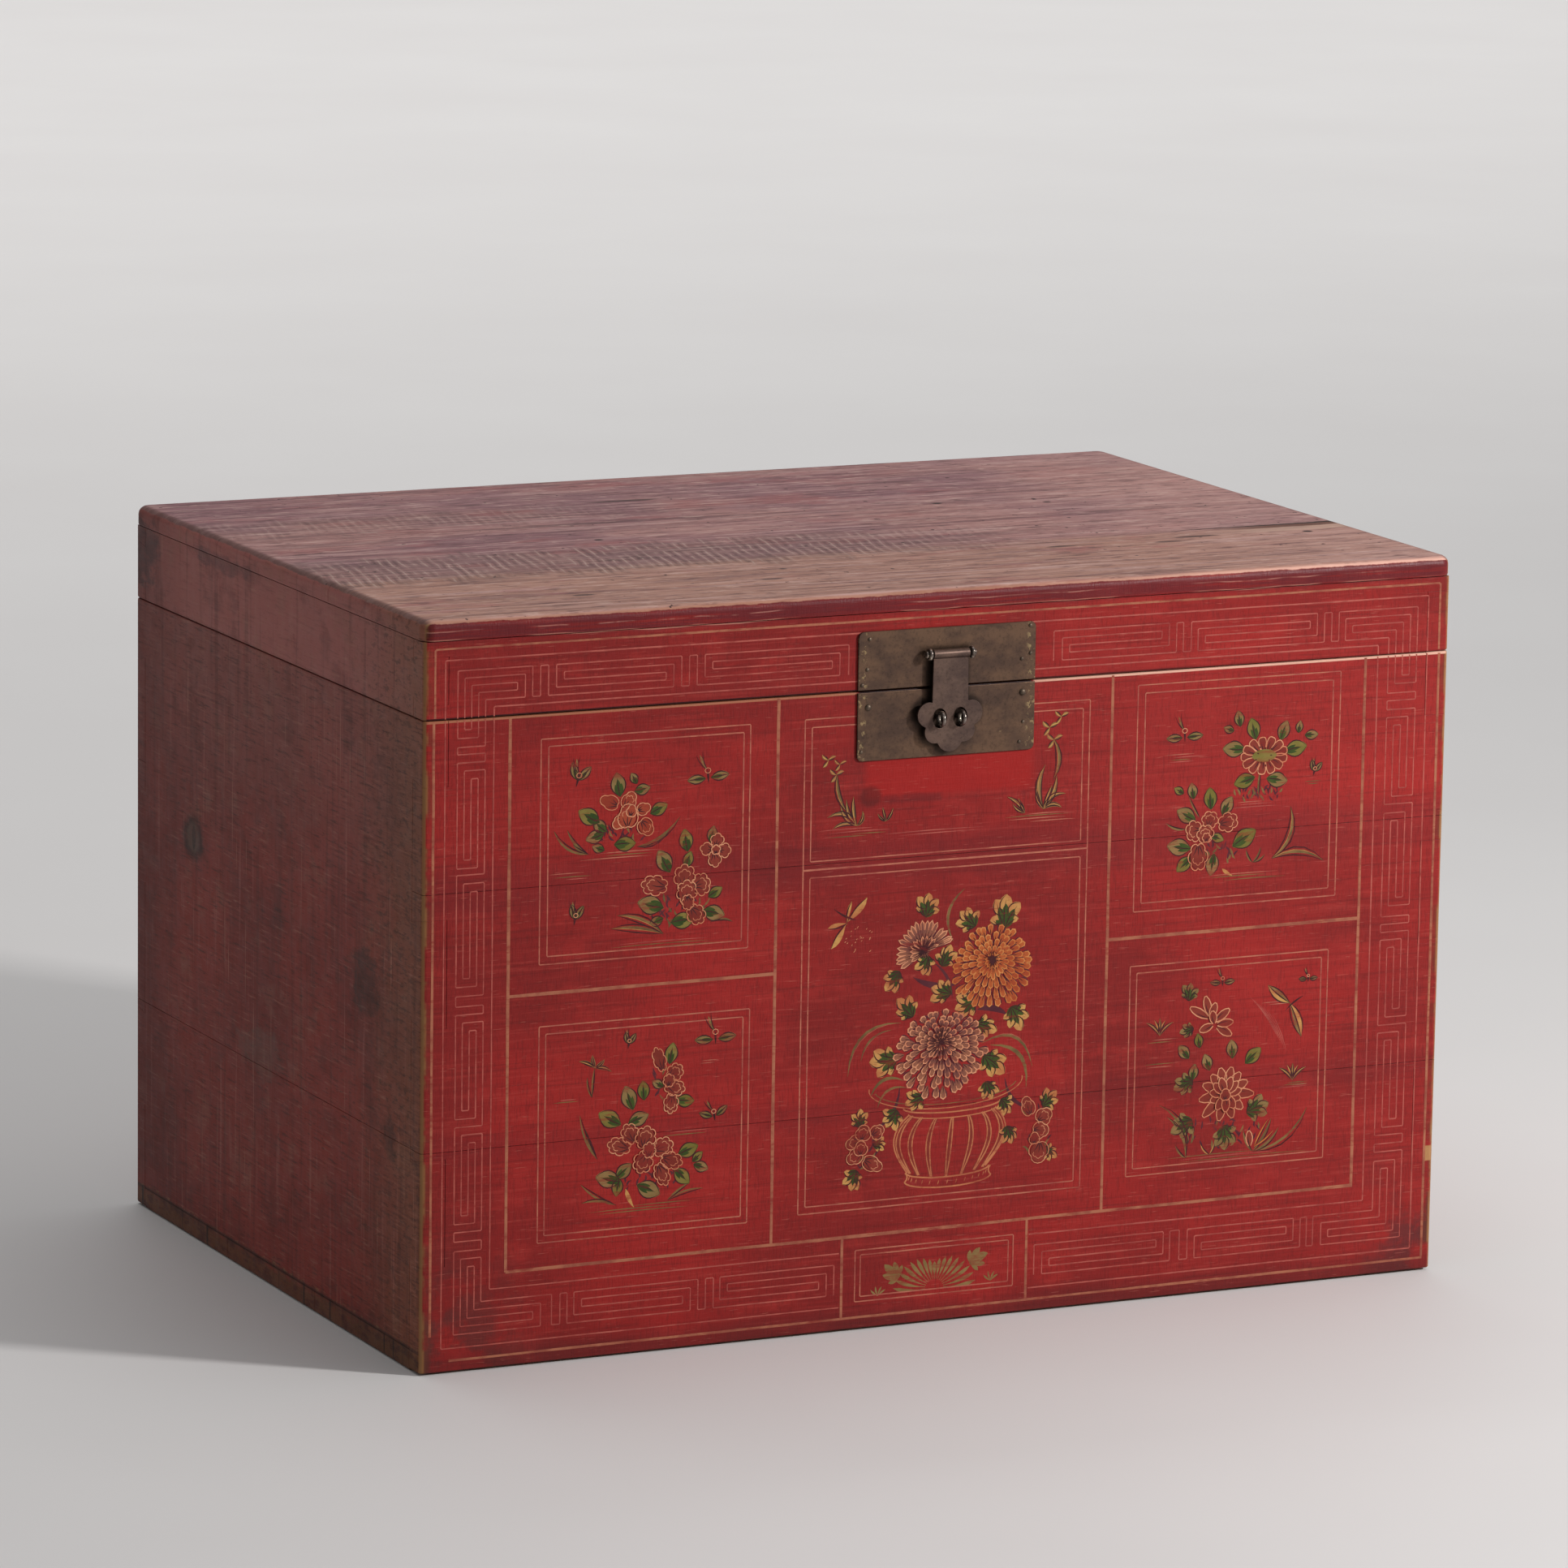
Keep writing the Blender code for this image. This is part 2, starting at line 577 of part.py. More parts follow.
for hand, side_sign in (("left", -1), ("right", 1)):
    middle_x = side_sign * HINGE_X
    label = "hinge_" + hand
    third = HINGE_WIDTH / 3
    edges = [middle_x - HINGE_WIDTH / 2 + third * step for step in range(4)]
    leaf_back = HALF_DEPTH + SEAT_GAP
    lower_leaf = box(
        label + "_lower_leaf",
        (edges[0], leaf_back, SEAM_HEIGHT - HINGE_LEAF),
        (edges[3], leaf_back + PLATE, BASE_TOP),
    )
    upper_leaf = box(
        label + "_upper_leaf",
        (edges[0], leaf_back, LID_LOW),
        (edges[3], leaf_back + PLATE, SEAM_HEIGHT + HINGE_LEAF),
    )
    room = HINGE_KNUCKLE + SIDE_PLAY
    for index, (near, far) in enumerate(zip(edges, edges[1:])):
        holder, other = (upper_leaf, lower_leaf) if index == 1 else (lower_leaf, upper_leaf)
        near_in = near + SIDE_PLAY / 2
        far_in = far - SIDE_PLAY / 2
        near_out = near - (SIDE_PLAY / 4 if index else TRIM)
        far_out = far + (SIDE_PLAY / 4 if index < 2 else TRIM)
        clear = rod(
            label + "_room_%d" % index, (near_out, AXIS_Y, SEAM_HEIGHT), (far_out, AXIS_Y, SEAM_HEIGHT),
            room, 20, CUTTERS,
        )
        combine(other, clear, "DIFFERENCE")
        knuckle = rod(
            label + "_knuckle_%d" % index, (near_in, AXIS_Y, SEAM_HEIGHT), (far_in, AXIS_Y, SEAM_HEIGHT),
            HINGE_KNUCKLE, 20, CUTTERS,
        )
        combine(holder, knuckle, "UNION")
    bore = rod(
        label + "_bore", (edges[0] - TRIM, AXIS_Y, SEAM_HEIGHT), (edges[3] + TRIM, AXIS_Y, SEAM_HEIGHT),
        HINGE_PIN + RUN_GAP, 20, CUTTERS,
    )
    for leaf in (lower_leaf, upper_leaf):
        combine(leaf, bore, "DIFFERENCE")
        finish(leaf, AGED_BRASS)
    pin = headed_pin(
        label + "_pin", (middle_x, AXIS_Y, SEAM_HEIGHT), HINGE_WIDTH + 2 * RUN_GAP, HINGE_PIN
    )
    base_parts += [lower_leaf, finish(pin, AGED_BRASS)]
    lid_parts.append(upper_leaf)


# Joint axes: empties that carry the pieces that turn about them

def carry(name, at, pieces, parent=None):
    """Return an empty at a joint axis with the pieces parented to it where they stand."""
    axis = bpy.data.objects.new(name, None)
    axis.empty_display_size = 0.03
    axis.location = at
    PARTS.objects.link(axis)
    held = Matrix.Translation(at).inverted()
    for piece in pieces:
        piece.parent = axis
        piece.matrix_parent_inverse = held
    if parent:
        axis.parent = parent
        axis.matrix_parent_inverse = parent.matrix_basis.inverted()
    return axis


lid_axis = carry("lid_hinge_axis", (0, AXIS_Y, SEAM_HEIGHT), lid_parts)
carry("hasp_swing_axis", (LOCK_X, PIN_Y, PIN_Z), [hasp], lid_axis)
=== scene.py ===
"""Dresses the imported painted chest: worn lacquered boards, brass lock set and a painted front.

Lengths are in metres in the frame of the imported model, except in the painter's drawing of the
front, which is in millimetres from the front's lower left corner.
"""

import logging
import math
import random
from dataclasses import dataclass, field
from enum import Enum
from typing import Any, Callable, Iterable, Sequence

import bpy
from mathutils import Matrix, Vector


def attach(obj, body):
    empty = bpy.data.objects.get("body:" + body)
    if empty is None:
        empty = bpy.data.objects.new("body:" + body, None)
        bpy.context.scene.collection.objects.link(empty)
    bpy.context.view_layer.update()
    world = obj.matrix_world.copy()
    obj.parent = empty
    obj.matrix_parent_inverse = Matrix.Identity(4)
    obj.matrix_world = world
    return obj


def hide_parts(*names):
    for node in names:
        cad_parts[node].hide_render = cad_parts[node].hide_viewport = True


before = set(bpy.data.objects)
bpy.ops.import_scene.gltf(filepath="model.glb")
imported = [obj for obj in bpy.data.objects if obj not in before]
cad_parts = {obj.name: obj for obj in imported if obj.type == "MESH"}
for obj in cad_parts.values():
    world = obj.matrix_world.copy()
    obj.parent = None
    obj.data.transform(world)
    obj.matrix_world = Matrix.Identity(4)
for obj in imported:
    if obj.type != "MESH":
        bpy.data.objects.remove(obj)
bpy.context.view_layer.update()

LOG = logging.getLogger("painted_chest")
MM = 0.001

Tree = bpy.types.NodeTree
Socket = bpy.types.NodeSocket
Piece = bpy.types.Object
Point = tuple[float, float]
Track = list[Point]
Row = Sequence[Any]

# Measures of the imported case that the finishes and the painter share
HALF_WIDTH = 0.440
FRONT_Y = -0.29825
SEAM_Z = 0.5045
TOP_Z = 0.5806
LOCK_X = -0.0045
PLATE_HALF = 0.076
HOLES_Z = 0.481


class Body(Enum):
    """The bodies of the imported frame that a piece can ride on."""

    BASE = "base"
    LID = "lid"
    HASP = "hasp"


class Slot(Enum):
    """The record's material slots."""

    RED = "red_lacquered_wood"
    DARK = "dark_lacquered_wood"
    FADED = "faded_top_wood"
    BARE = "bare_wood"
    BRASS = "aged_brass"


# Shaders


def linear(code: str) -> tuple[float, float, float, float]:
    """Turns an sRGB hex colour into the linear colour that shaders take.

    Args:
        code: the colour as "#rrggbb".

    Returns:
        Linear red, green, blue and an alpha of 1.
    """
    shares = [int(code[i : i + 2], 16) / 255 for i in (1, 3, 5)]
    straight = [s / 12.92 if s <= 0.04045 else ((s + 0.055) / 1.055) ** 2.4 for s in shares]
    return (straight[0], straight[1], straight[2], 1.0)


@dataclass
class Shader:
    """A material's node tree, with the patterns, masks and layers that finishes are made of."""

    tree: Tree
    p: Any = field(default=None, init=False)

    def __post_init__(self) -> None:
        """Adds the object coordinates that all patterns follow."""
        self.p = self.put("TexCoord", out="Object")

    def put(
        self, kind: str, *links: Any, out: int | str = 0, named: dict | None = None, **settings: Any
    ) -> Socket | None:
        """Adds a node with its settings and links.

        Args:
            kind: the node's type without its ShaderNode prefix.
            links: sockets or values for the first inputs, in order.
            out: the output that is given back.
            named: sockets or values for inputs by name or number; text there is a hex colour.
            settings: the node's own properties.

        Returns:
            The chosen output socket, or None for a node without outputs.
        """
        node = self.tree.nodes.new("ShaderNode" + kind)
        for key, value in settings.items():
            setattr(node, key, value)
        for key, value in [*enumerate(links), *(named or {}).items()]:
            if isinstance(value, Socket):
                self.tree.links.new(value, node.inputs[key])
            else:
                node.inputs[key].default_value = linear(value) if isinstance(value, str) else value
        return node.outputs[out] if node.outputs else None

    def mottle(self, size: Row, detail: float = 3.0, rough: float = 0.55) -> Socket:
        """Adds a cloudy pattern whose blotches have a real size.

        Args:
            size: the length of a blotch along x, y and z, in millimetres.
            detail: how many finer layers lie in it.
            rough: how strong the finer layers are.

        Returns:
            A value that lies mostly between 0.3 and 0.7.
        """
        across = tuple(1000.0 / length for length in size)
        scaled = self.put("VectorMath", self.p, across, operation="MULTIPLY")
        facts = {"Vector": scaled, "Scale": 1.0, "Detail": detail, "Roughness": rough}
        return self.put("TexNoise", named=facts)

    def meet(self, *parts: Any) -> Any:
        """Multiplies masks and strengths.

        Args:
            parts: sockets and numbers; a tuple of a value and two limits is a smooth step from 0 at the
                first to 1 at the second, and with a width after them it is a band with soft edges.

        Returns:
            The mask that is left where all of them are.
        """
        whole = None
        for part in parts:
            if isinstance(part, tuple) and len(part) == 4:
                value, low, high, soft = part
                part = self.meet((value, low - soft, low), (value, high + soft, high))
            elif isinstance(part, tuple):
                part = self.put("MapRange", *part, interpolation_type="SMOOTHSTEP")
            whole = part if whole is None else self.put("Math", whole, part, operation="MULTIPLY")
        return whole

    def layered(self, ground: Any, *layers: Row, colour: bool = True) -> Any:
        """Lays colours or values over a ground one after another, each where its mask is.

        Args:
            ground: the first colour or value.
            layers: the parts of a mask, as meet takes them, and the colour or value that it lets show.
            colour: False where these are plain values.

        Returns:
            What shows in the end.
        """
        a, b, out = (6, 7, 2) if colour else (2, 3, 0)
        kind = "RGBA" if colour else "FLOAT"
        shown = ground
        for *parts, over in layers:
            shown = self.put("Mix", named={0: self.meet(*parts), a: shown, b: over}, out=out, data_type=kind)
        return shown

    def spot(self, middle: Row, half: Row, ragged: Any = 0.0) -> Any:
        """Adds an oval mask, such as a knot or a stain.

        Args:
            middle: its middle.
            half: its half sizes along x, y and z; 0 along an axis that it runs right through.
            ragged: a value or socket that shifts its edge in and out.

        Returns:
            The mask, 1 inside and soft at the edge.
        """
        share = tuple(1 / h if h else 0.0 for h in half)
        around = self.put("VectorMath", self.p, share, operation="MULTIPLY")
        centre = tuple(m * s for m, s in zip(middle, share))
        far = self.put("VectorMath", around, centre, operation="DISTANCE", out="Value")
        return self.meet((self.put("Math", far, ragged, operation="ADD"), 1.15, 0.65))


# Finishes


@dataclass(frozen=True)
class Finish:
    """A surface finish that makes its material once."""

    title: str

    def shade(self, s: Shader) -> dict[str, Any]:
        """Gives the main shader's inputs by name; each finish has its own."""
        raise NotImplementedError

    def material(self) -> bpy.types.Material:
        """Makes the material, or finds the one made before.

        Returns:
            The material.
        """
        found = bpy.data.materials.get(self.title)
        if found:
            return found
        made = bpy.data.materials.new(self.title)
        made.use_nodes = True
        made.node_tree.nodes.clear()
        s = Shader(made.node_tree)
        s.put("OutputMaterial", s.put("BsdfPrincipled", named=self.shade(s)))
        return made


@dataclass(frozen=True)
class CaseLacquer(Finish):
    """Old red lacquer over softwood planks.

    The front keeps a satin cherry red with brush striations, the sides and back are thin, brown
    and grained, the top is rubbed down to a greyish pink wood, and the inside is bare.
    """

    title: str = "aged_red_lacquer_on_pine"
    faces: tuple[str, ...] = ("back", "side", "front", "top")
    crossed: bool = False
    saw_pitch: float = 0.0084
    top_seam: float = 0.1079
    # small cracks of the top: place along x and y, and half length
    checks: tuple[tuple[float, float, float], ...] = (
        (0.294, -0.143, 0.022),
        (0.262, -0.158, 0.014),
        (-0.280, -0.2305, 0.012),
        (-0.113, -0.2126, 0.012),
        (0.170, -0.150, 0.016),
        (-0.060, 0.180, 0.030),
    )
    # knots and stains of the sides: place along y and z, half sizes, raggedness, strength and colour
    marks: tuple[tuple[float, float, float, float, float, float, str], ...] = (
        (0.172, 0.330, 0.024, 0.020, 0.25, 0.85, "#2e1a17"),
        (0.171, 0.330, 0.014, 0.014, 0.30, 0.75, "#64483a"),
        (0.170, 0.330, 0.004, 0.011, 0.30, 0.80, "#2e1a17"),
        (-0.185, 0.282, 0.032, 0.026, 1.0, 0.55, "#2b201b"),
        (0.025, 0.185, 0.046, 0.022, 1.0, 0.36, "#64544a"),
        (0.283, 0.545, 0.034, 0.028, 1.0, 0.65, "#342a2b"),
        (0.110, 0.562, 0.070, 0.008, 1.0, 0.45, "#443234"),
        (-0.237, 0.172, 0.014, 0.016, 1.0, 0.60, "#33211c"),
    )

    def front(self, s: Shader, x: Any, z: Any) -> tuple[Any, Any]:
        """Paints the front.

        Args:
            s: the shader.
            x: the first part of the coordinates.
            z: their third part.

        Returns:
            The colour and the height for the bump.
        """
        cloud = s.mottle((170, 170, 120), 3)
        patch = s.mottle((42, 42, 20), 4, 0.62)
        brush = s.mottle((80, 80, 2.6), 3, 0.6)
        # a brush's hairs leave finer lines than these, which are as coarse as they need to be to show
        hair = s.mottle((16, 16, 0.9), 2, 0.6)
        weave = s.mottle((1.3, 1.3, 9), 2, 0.6)
        wave = s.mottle((150, 150, 500), 3, 0.6)
        bent = s.put("Math", wave, 0.010, z, operation="MULTIPLY_ADD")
        level = s.put("Math", bent, 0.005, operation="SUBTRACT")
        corners = ((-HALF_WIDTH, FRONT_Y, 0.0), (HALF_WIDTH, FRONT_Y, 0.03))
        left_low, right_low = (
            s.put("VectorMath", s.p, corner, operation="DISTANCE", out="Value") for corner in corners
        )
        broken = s.meet((s.mottle((45, 45, 45), 4, 0.65), 0.42, 0.56))
        edge = s.put("Math", x, operation="ABSOLUTE")
        under_lock = s.meet((x, -0.067, 0.067, 0.010))
        stain = s.spot((-0.0675, FRONT_Y, 0.422), (0.010, 0.010, 0.009))
        long = s.meet((wave, 0.46, 0.54))
        from_lock = s.put("Math", s.put("Math", x, -LOCK_X, operation="ADD"), operation="ABSOLUTE")
        beside = s.put("MapRange", from_lock, PLATE_HALF - 0.001, PLATE_HALF + 0.001)
        # painted shade behind the lock plates, seen through the gap between them
        shade_behind_plates = s.put("MapRange", from_lock, PLATE_HALF - 0.001, PLATE_HALF - 0.003)
        # how much of the painted gap shadow is left, full at the left and fading to the right
        left_part = s.put("MapRange", x, 0.32, 0.02, 0.25, 1.0)
        # the base's worn top edge, pale wood with a painted highlight that grows lighter to the right
        worn_edge_and_highlight = s.layered("#a3664a", ((x, -0.12, 0.16), "#dbaa93"))
        colour = s.layered(
            "#7a1c1a",
            ((cloud, 0.35, 0.68), "#92201d"),
            ((patch, 0.50, 0.72), 0.45, "#9f2b26"),
            # a lighter red over the upper right of the front, painted light
            ((x, 0.0, 0.2), (z, 0.40, 0.47, 0.10), 0.35, "#ab2b27"),
            ((brush, 0.47, 0.30), 0.34, "#541715"),
            ((brush, 0.54, 0.70), 0.22, "#a83d35"),
            ((weave, 0.50, 0.32), 0.30, "#551615"),
            (under_lock, (z, 0.424, 0.46, 0.008), 0.55, "#a01a16"),
            (under_lock, (level, 0.4165, 0.4195, 0.0035), broken, 0.50, "#561a1c"),
            (stain, 0.55, "#431715"),
            ((level, 0.362, 0.380, 0.020), 0.30, "#551a1e"),
            ((level, 0.170, 0.176, 0.014), 0.22, "#551a1e"),
            ((left_low, 0.15, 0.015), broken, 0.75, "#4a2825"),
            ((right_low, 0.11, 0.01), broken, 0.75, "#4b2626"),
            ((level, 0.026, 0.004), 0.50, "#451b1b"),
            ((edge, 0.428, 0.440), broken, 0.70, "#573422"),
            ((edge, 0.4372, 0.442, 0.0016), broken, 0.70, "#94683f"),
            ((hair, 0.66, 0.74), 0.30, "#bb6c5c"),
            # the top board's edge, brown where it was rubbed and pale along its arrises
            ((level, 0.5675, 0.583, 0.006), (brush, 0.30, 0.52), 0.68, "#4c1920"),
            ((level, 0.5651, 0.5657, 0.0006), long, 0.55, "#c78d78"),
            ((level, 0.5718, 0.5722, 0.0005), broken, long, 0.40, "#c48a7a"),
            # the joint under the lid: painted shade behind the lock plates, painted shadow in the gap above
            # the joint, and the worn pale edge below it with a painted highlight that grows lighter to the
            # right
            (shade_behind_plates, (z, 0.5000, 0.5080, 0.0010), 0.95, "#1c0c0b"),
            (beside, (z, 0.5026, 0.5044, 0.0005), 0.85, worn_edge_and_highlight),
            # painted shadow in the gap under the lid, on the rail's lower arris
            ((z, 0.5046, 0.5060, 0.0005), left_part, 0.85, "#200b0b"),
            # a chip down to the wood at the right edge
            ((x, 0.4315, 0.439, 0.0006), (level, 0.092, 0.103, 0.0012), (patch, 0.36, 0.46), "#a5774d"),
        )
        fine = s.put("Math", brush, hair, operation="ADD")
        return colour, s.put("Math", weave, fine, operation="ADD")

    def side(self, s: Shader, y: Any, z: Any, marked: bool) -> tuple[Any, Any]:
        """Paints the sides and the back.

        Args:
            s: the shader.
            y: how far back a place is, which is least at the worn edge.
            z: the third part of the coordinates.
            marked: True where the knots and stains are.

        Returns:
            The colour and the height for the bump.
        """
        cloud = s.mottle((190, 190, 140), 3, 0.60)
        runs = s.mottle((9, 9, 210), 3, 0.6)
        grain = s.mottle((34, 34, 2.2), 4, 0.66)
        patch = s.mottle((46, 46, 38), 4, 0.62)
        chips = s.mottle((20, 20, 9), 4, 0.65)
        pores = s.mottle((9, 9, 1.6), 2, 0.6)
        scored = s.mottle((2.6, 2.6, 130), 2, 0.6)
        flaked = s.mottle((11, 11, 5), 4, 0.7)
        splits = s.mottle((9, 9, 900), 2, 0.5)
        ahead = s.put("Math", y, -1.0, -0.06, operation="MULTIPLY_ADD")
        frayed = s.put("Math", patch, 0.12, ahead, operation="MULTIPLY_ADD")
        raised = s.put("Math", z, 0.015, operation="ADD")
        low = s.put("Math", chips, -0.030, raised, operation="MULTIPLY_ADD")
        worn_off = s.meet((flaked, 0.52, 0.62))
        calm = s.put("MapRange", z, SEAM_Z, SEAM_Z + 0.003, 1.0, 0.4)
        foot = s.put("MapRange", z, 0.019, 0.016)
        skirting = s.layered("#664429", ((chips, 0.46, 0.62), "#42291d"))
        layers = [
            ((cloud, 0.38, 0.62), "#8a342a"),
            ((z, 0.30, 0.50), 0.40, "#95635a"),
            ((z, SEAM_Z, SEAM_Z + 0.003), 0.52, "#b06a63"),
            ((patch, 0.47, 0.34), 0.34, "#552720"),
            ((patch, 0.54, 0.70), 0.34, "#8a5c4b"),
            ((frayed, 0.14, 0.30), 0.62, "#7e5138"),
            ((runs, 0.48, 0.34), 0.30, "#4a2520"),
            ((runs, 0.60, 0.72), 0.38, "#a5665a"),
            ((grain, 0.47, 0.32), calm, 0.62, "#3f201a"),
            ((grain, 0.55, 0.70), 0.40, "#a5705e"),
            ((pores, 0.40, 0.28), calm, 0.60, "#3a1d18"),
            ((scored, 0.66, 0.74), 0.45, "#b07c68"),
            ((frayed, 0.12, 0.24), worn_off, 0.50, "#3c261d"),
            ((y, 0.16, 0.29), 0.48, "#56221d"),
            ((low, 0.022, 0.012), 0.72, skirting),
            ((z, 0.0165, 0.0185, 0.001), 0.60, "#33201a"),
            ((z, 0.0190, 0.0205, 0.001), worn_off, 0.50, "#8d6846"),
            (foot, s.put("MapRange", splits, 0.62, 0.66), 0.75, "#20130f"),
        ]
        blotch = s.mottle((24, 24, 14), 5, 0.72)
        spill = s.put("Math", blotch, 2.4, -1.2, operation="MULTIPLY_ADD")
        for back, height, half, tall, ragged, strength, tint in self.marks if marked else ():
            rim = s.put("Math", spill, ragged, operation="MULTIPLY")
            inside = s.spot((-HALF_WIDTH, back, height), (HALF_WIDTH, half, tall), rim)
            layers.append((inside, s.put("MapRange", chips, 0.30, 0.55, 0.5, 1.0), strength, tint))
        return s.layered("#782d25", *layers), s.put("Math", grain, runs, operation="ADD")

    def top(self, s: Shader, x: Any, y: Any) -> tuple[Any, Any]:
        """Paints the rubbed top.

        Args:
            s: the shader.
            x: the first part of the coordinates.
            y: their second part.

        Returns:
            The colour and the height for the bump.
        """
        cloud = s.mottle((210, 130, 130), 3)
        grain = s.mottle((300, 3.4, 12), 3, 0.66)
        streak = s.mottle((240, 15, 20), 3, 0.60)
        patch = s.mottle((110, 40, 30), 4, 0.66)
        speck = s.mottle((8, 9, 6), 2)
        fleck = s.mottle((26, 2.4, 6), 3, 0.66)
        dash = s.mottle((30, 7, 10), 3, 0.70)
        ragged = s.mottle((13, 400, 400), 2, 0.6)
        sway = s.put("Math", s.mottle((60, 60, 60), 3, 0.6), 7.0, operation="MULTIPLY")
        slant = s.put("Math", y, -0.20, x, operation="MULTIPLY_ADD")
        turn = s.put("Math", slant, 2 * math.pi / self.saw_pitch, sway, operation="MULTIPLY_ADD")
        tooth = s.put("Math", turn, operation="SINE")
        uneven = s.meet((s.mottle((16, 26, 26), 3, 0.6), 0.36, 0.62))
        lines = s.meet((tooth, 0.10, 0.95), uneven)
        ridges = s.meet((tooth, -0.62, -0.98), uneven)
        bend = s.mottle((34, 400, 400), 3, 0.6)
        wander = s.put("Math", bend, 0.008, y, operation="MULTIPLY_ADD")
        past_seam = s.put("Math", wander, self.top_seam, operation="ADD")
        from_seam = s.put("Math", past_seam, operation="ABSOLUTE")
        spread = s.put("MapRange", x, 0.22, 0.44, 0.0, 0.0030)
        clear = s.put("Math", from_seam, spread, operation="SUBTRACT")
        crack = s.put("MapRange", clear, 0.0004, -0.0006)
        end = s.meet((x, 0.30, 0.38))
        gone = s.put("Math", patch, 1.6, -0.8, operation="MULTIPLY_ADD")
        checks = [
            (s.spot((a, b, TOP_Z), (long, 0.004, 0.0), gone), 0.8, "#3f2a26")
            for a, b, long in self.checks
        ]
        aside = s.meet((s.put("Math", x, operation="ABSOLUTE"), 0.4320, 0.4380))
        behind = s.meet((y, 0.2900, 0.2960))
        ends = s.put("Math", aside, behind, operation="MAXIMUM")
        arris = s.meet((y, FRONT_Y + 0.0036, FRONT_Y + 0.0010))
        # the worn arris is pale wood, with a painted highlight that grows lighter to the right
        pale = s.layered("#a5705a", ((x, 0.0, 0.36), "#e2ae9c"))
        drift = s.put("Math", ragged, 0.09, y, operation="MULTIPLY_ADD")
        near = s.meet((drift, -0.078, 0.004, 0.026), (x, 0.20, -0.02))
        far = s.meet((drift, 0.165, 0.205, 0.03), (x, 0.02, -0.25))
        band = s.put("Math", far, 0.5, near, operation="MULTIPLY_ADD")
        sawn = s.meet(band, lines)
        holes = s.put("VectorMath", s.p, (11.0, 14.0, 0.0), operation="MULTIPLY")
        pit = s.put("TexVoronoi", named={"Vector": holes, "Scale": 1.0})
        colour = s.layered(
            "#a0736d",
            ((cloud, 0.36, 0.66), "#855c60"),
            ((y, -0.105, -0.130), 0.7, "#a97d68"),
            ((streak, 0.48, 0.34), 0.50, "#654346"),
            ((streak, 0.53, 0.67), 0.45, "#b99590"),
            ((grain, 0.48, 0.32), 0.60, "#4d3232"),
            ((grain, 0.54, 0.70), 0.45, "#c09c94"),
            ((patch, 0.54, 0.70), 0.50, "#945452"),
            ((x, 0.20, 0.44), 0.40, "#b58b82"),
            ((fleck, 0.42, 0.30), 0.55, "#543837"),
            ((fleck, 0.60, 0.72), 0.30, "#c7a59c"),
            ((dash, 0.46, 0.34), 0.60, "#573a38"),
            ((dash, 0.55, 0.68), 0.45, "#c9a89c"),
            (band, 0.30, "#66504a"),
            (sawn, 0.42, "#452d2a"),
            (band, ridges, 0.50, "#b89d90"),
            ((wander, -0.136, -0.121, 0.005), end, 0.50, "#bb9a86"),
            ((wander, -0.119, -0.109, 0.004), end, 0.85, "#5a3524"),
            *checks,
            (ends, 0.72, "#6b463f"),
            (crack, 0.90, "#281814"),
            # the worn front arris with its painted highlight
            (arris, 0.75, pale),
            ((speck, 0.70, 0.76), "#3a2422"),
            ((pit, 0.060, 0.034), "#2a1816"),
        )
        deep = s.put("Math", sawn, -0.5, grain, operation="MULTIPLY_ADD")
        return colour, s.put("Math", crack, -1.5, deep, operation="MULTIPLY_ADD")

    def wood(self, s: Shader, x: Any) -> tuple[Any, Any]:
        """Paints the bare wood inside and below.

        Args:
            s: the shader.
            x: the first part of the coordinates.

        Returns:
            The colour and the height for the bump.
        """
        along = s.mottle((620, 5.5, 5.5), 4, 0.60)
        across = s.mottle((5.5, 620, 5.5), 4, 0.60)
        side_boards = 0.415
        aside = s.put("Math", x, operation="ABSOLUTE")
        ends = s.put("Math", aside, side_boards, operation="GREATER_THAN")
        grain = across if self.crossed else s.layered(along, (ends, across), colour=False)
        stain = s.mottle((160, 160, 160), 4)
        colour = s.layered(
            "#9a7350",
            ((grain, 0.48, 0.30), "#6f4c31"),
            ((grain, 0.54, 0.70), 0.6, "#b89069"),
            ((stain, 0.46, 0.72), 0.35, "#6d4e36"),
        )
        return colour, grain

    def shade(self, s: Shader) -> dict[str, Any]:
        """Joins the faces' paint by place, with ragged borders.

        Args:
            s: the shader.

        Returns:
            The main shader's inputs by name.
        """
        x, y, z = s.put("SeparateXYZ", s.p).node.outputs
        ragged = s.mottle((14, 14, 14), 4, 0.65)
        shift = s.put("Math", ragged, 0.0030, -0.0015, operation="MULTIPLY_ADD")
        near_y = s.put("Math", y, shift, operation="ADD")
        near_x = s.put("Math", s.put("Math", x, operation="ABSOLUTE"), shift, operation="SUBTRACT")
        near_z = s.put("Math", z, shift, operation="SUBTRACT")
        half_x = s.put("Math", x, 0.5, operation="MULTIPLY")
        painted = {
            "back": (near_y, 0.2950, 0.2962, 0.62, lambda: self.side(s, half_x, z, False)),
            "side": (near_x, 0.4376, 0.4386, 0.52, lambda: self.side(s, y, z, True)),
            "front": (near_y, FRONT_Y + 0.0024, FRONT_Y + 0.0014, 0.40, lambda: self.front(s, x, z)),
            "top": (near_z, TOP_Z - 0.0034, TOP_Z - 0.0024, 0.52, lambda: self.top(s, x, y)),
        }
        colour, height = self.wood(s, x)
        rough = 0.72
        for face in self.faces:
            where, first, whole, gloss, paint = painted[face]
            mask = s.meet((where, first, whole))
            over, relief = paint()
            colour = s.layered(colour, (mask, over))
            height = s.layered(height, (mask, relief), colour=False)
            rough = s.layered(rough, (mask, gloss), colour=False)
        if {"side", "front"} <= set(self.faces):
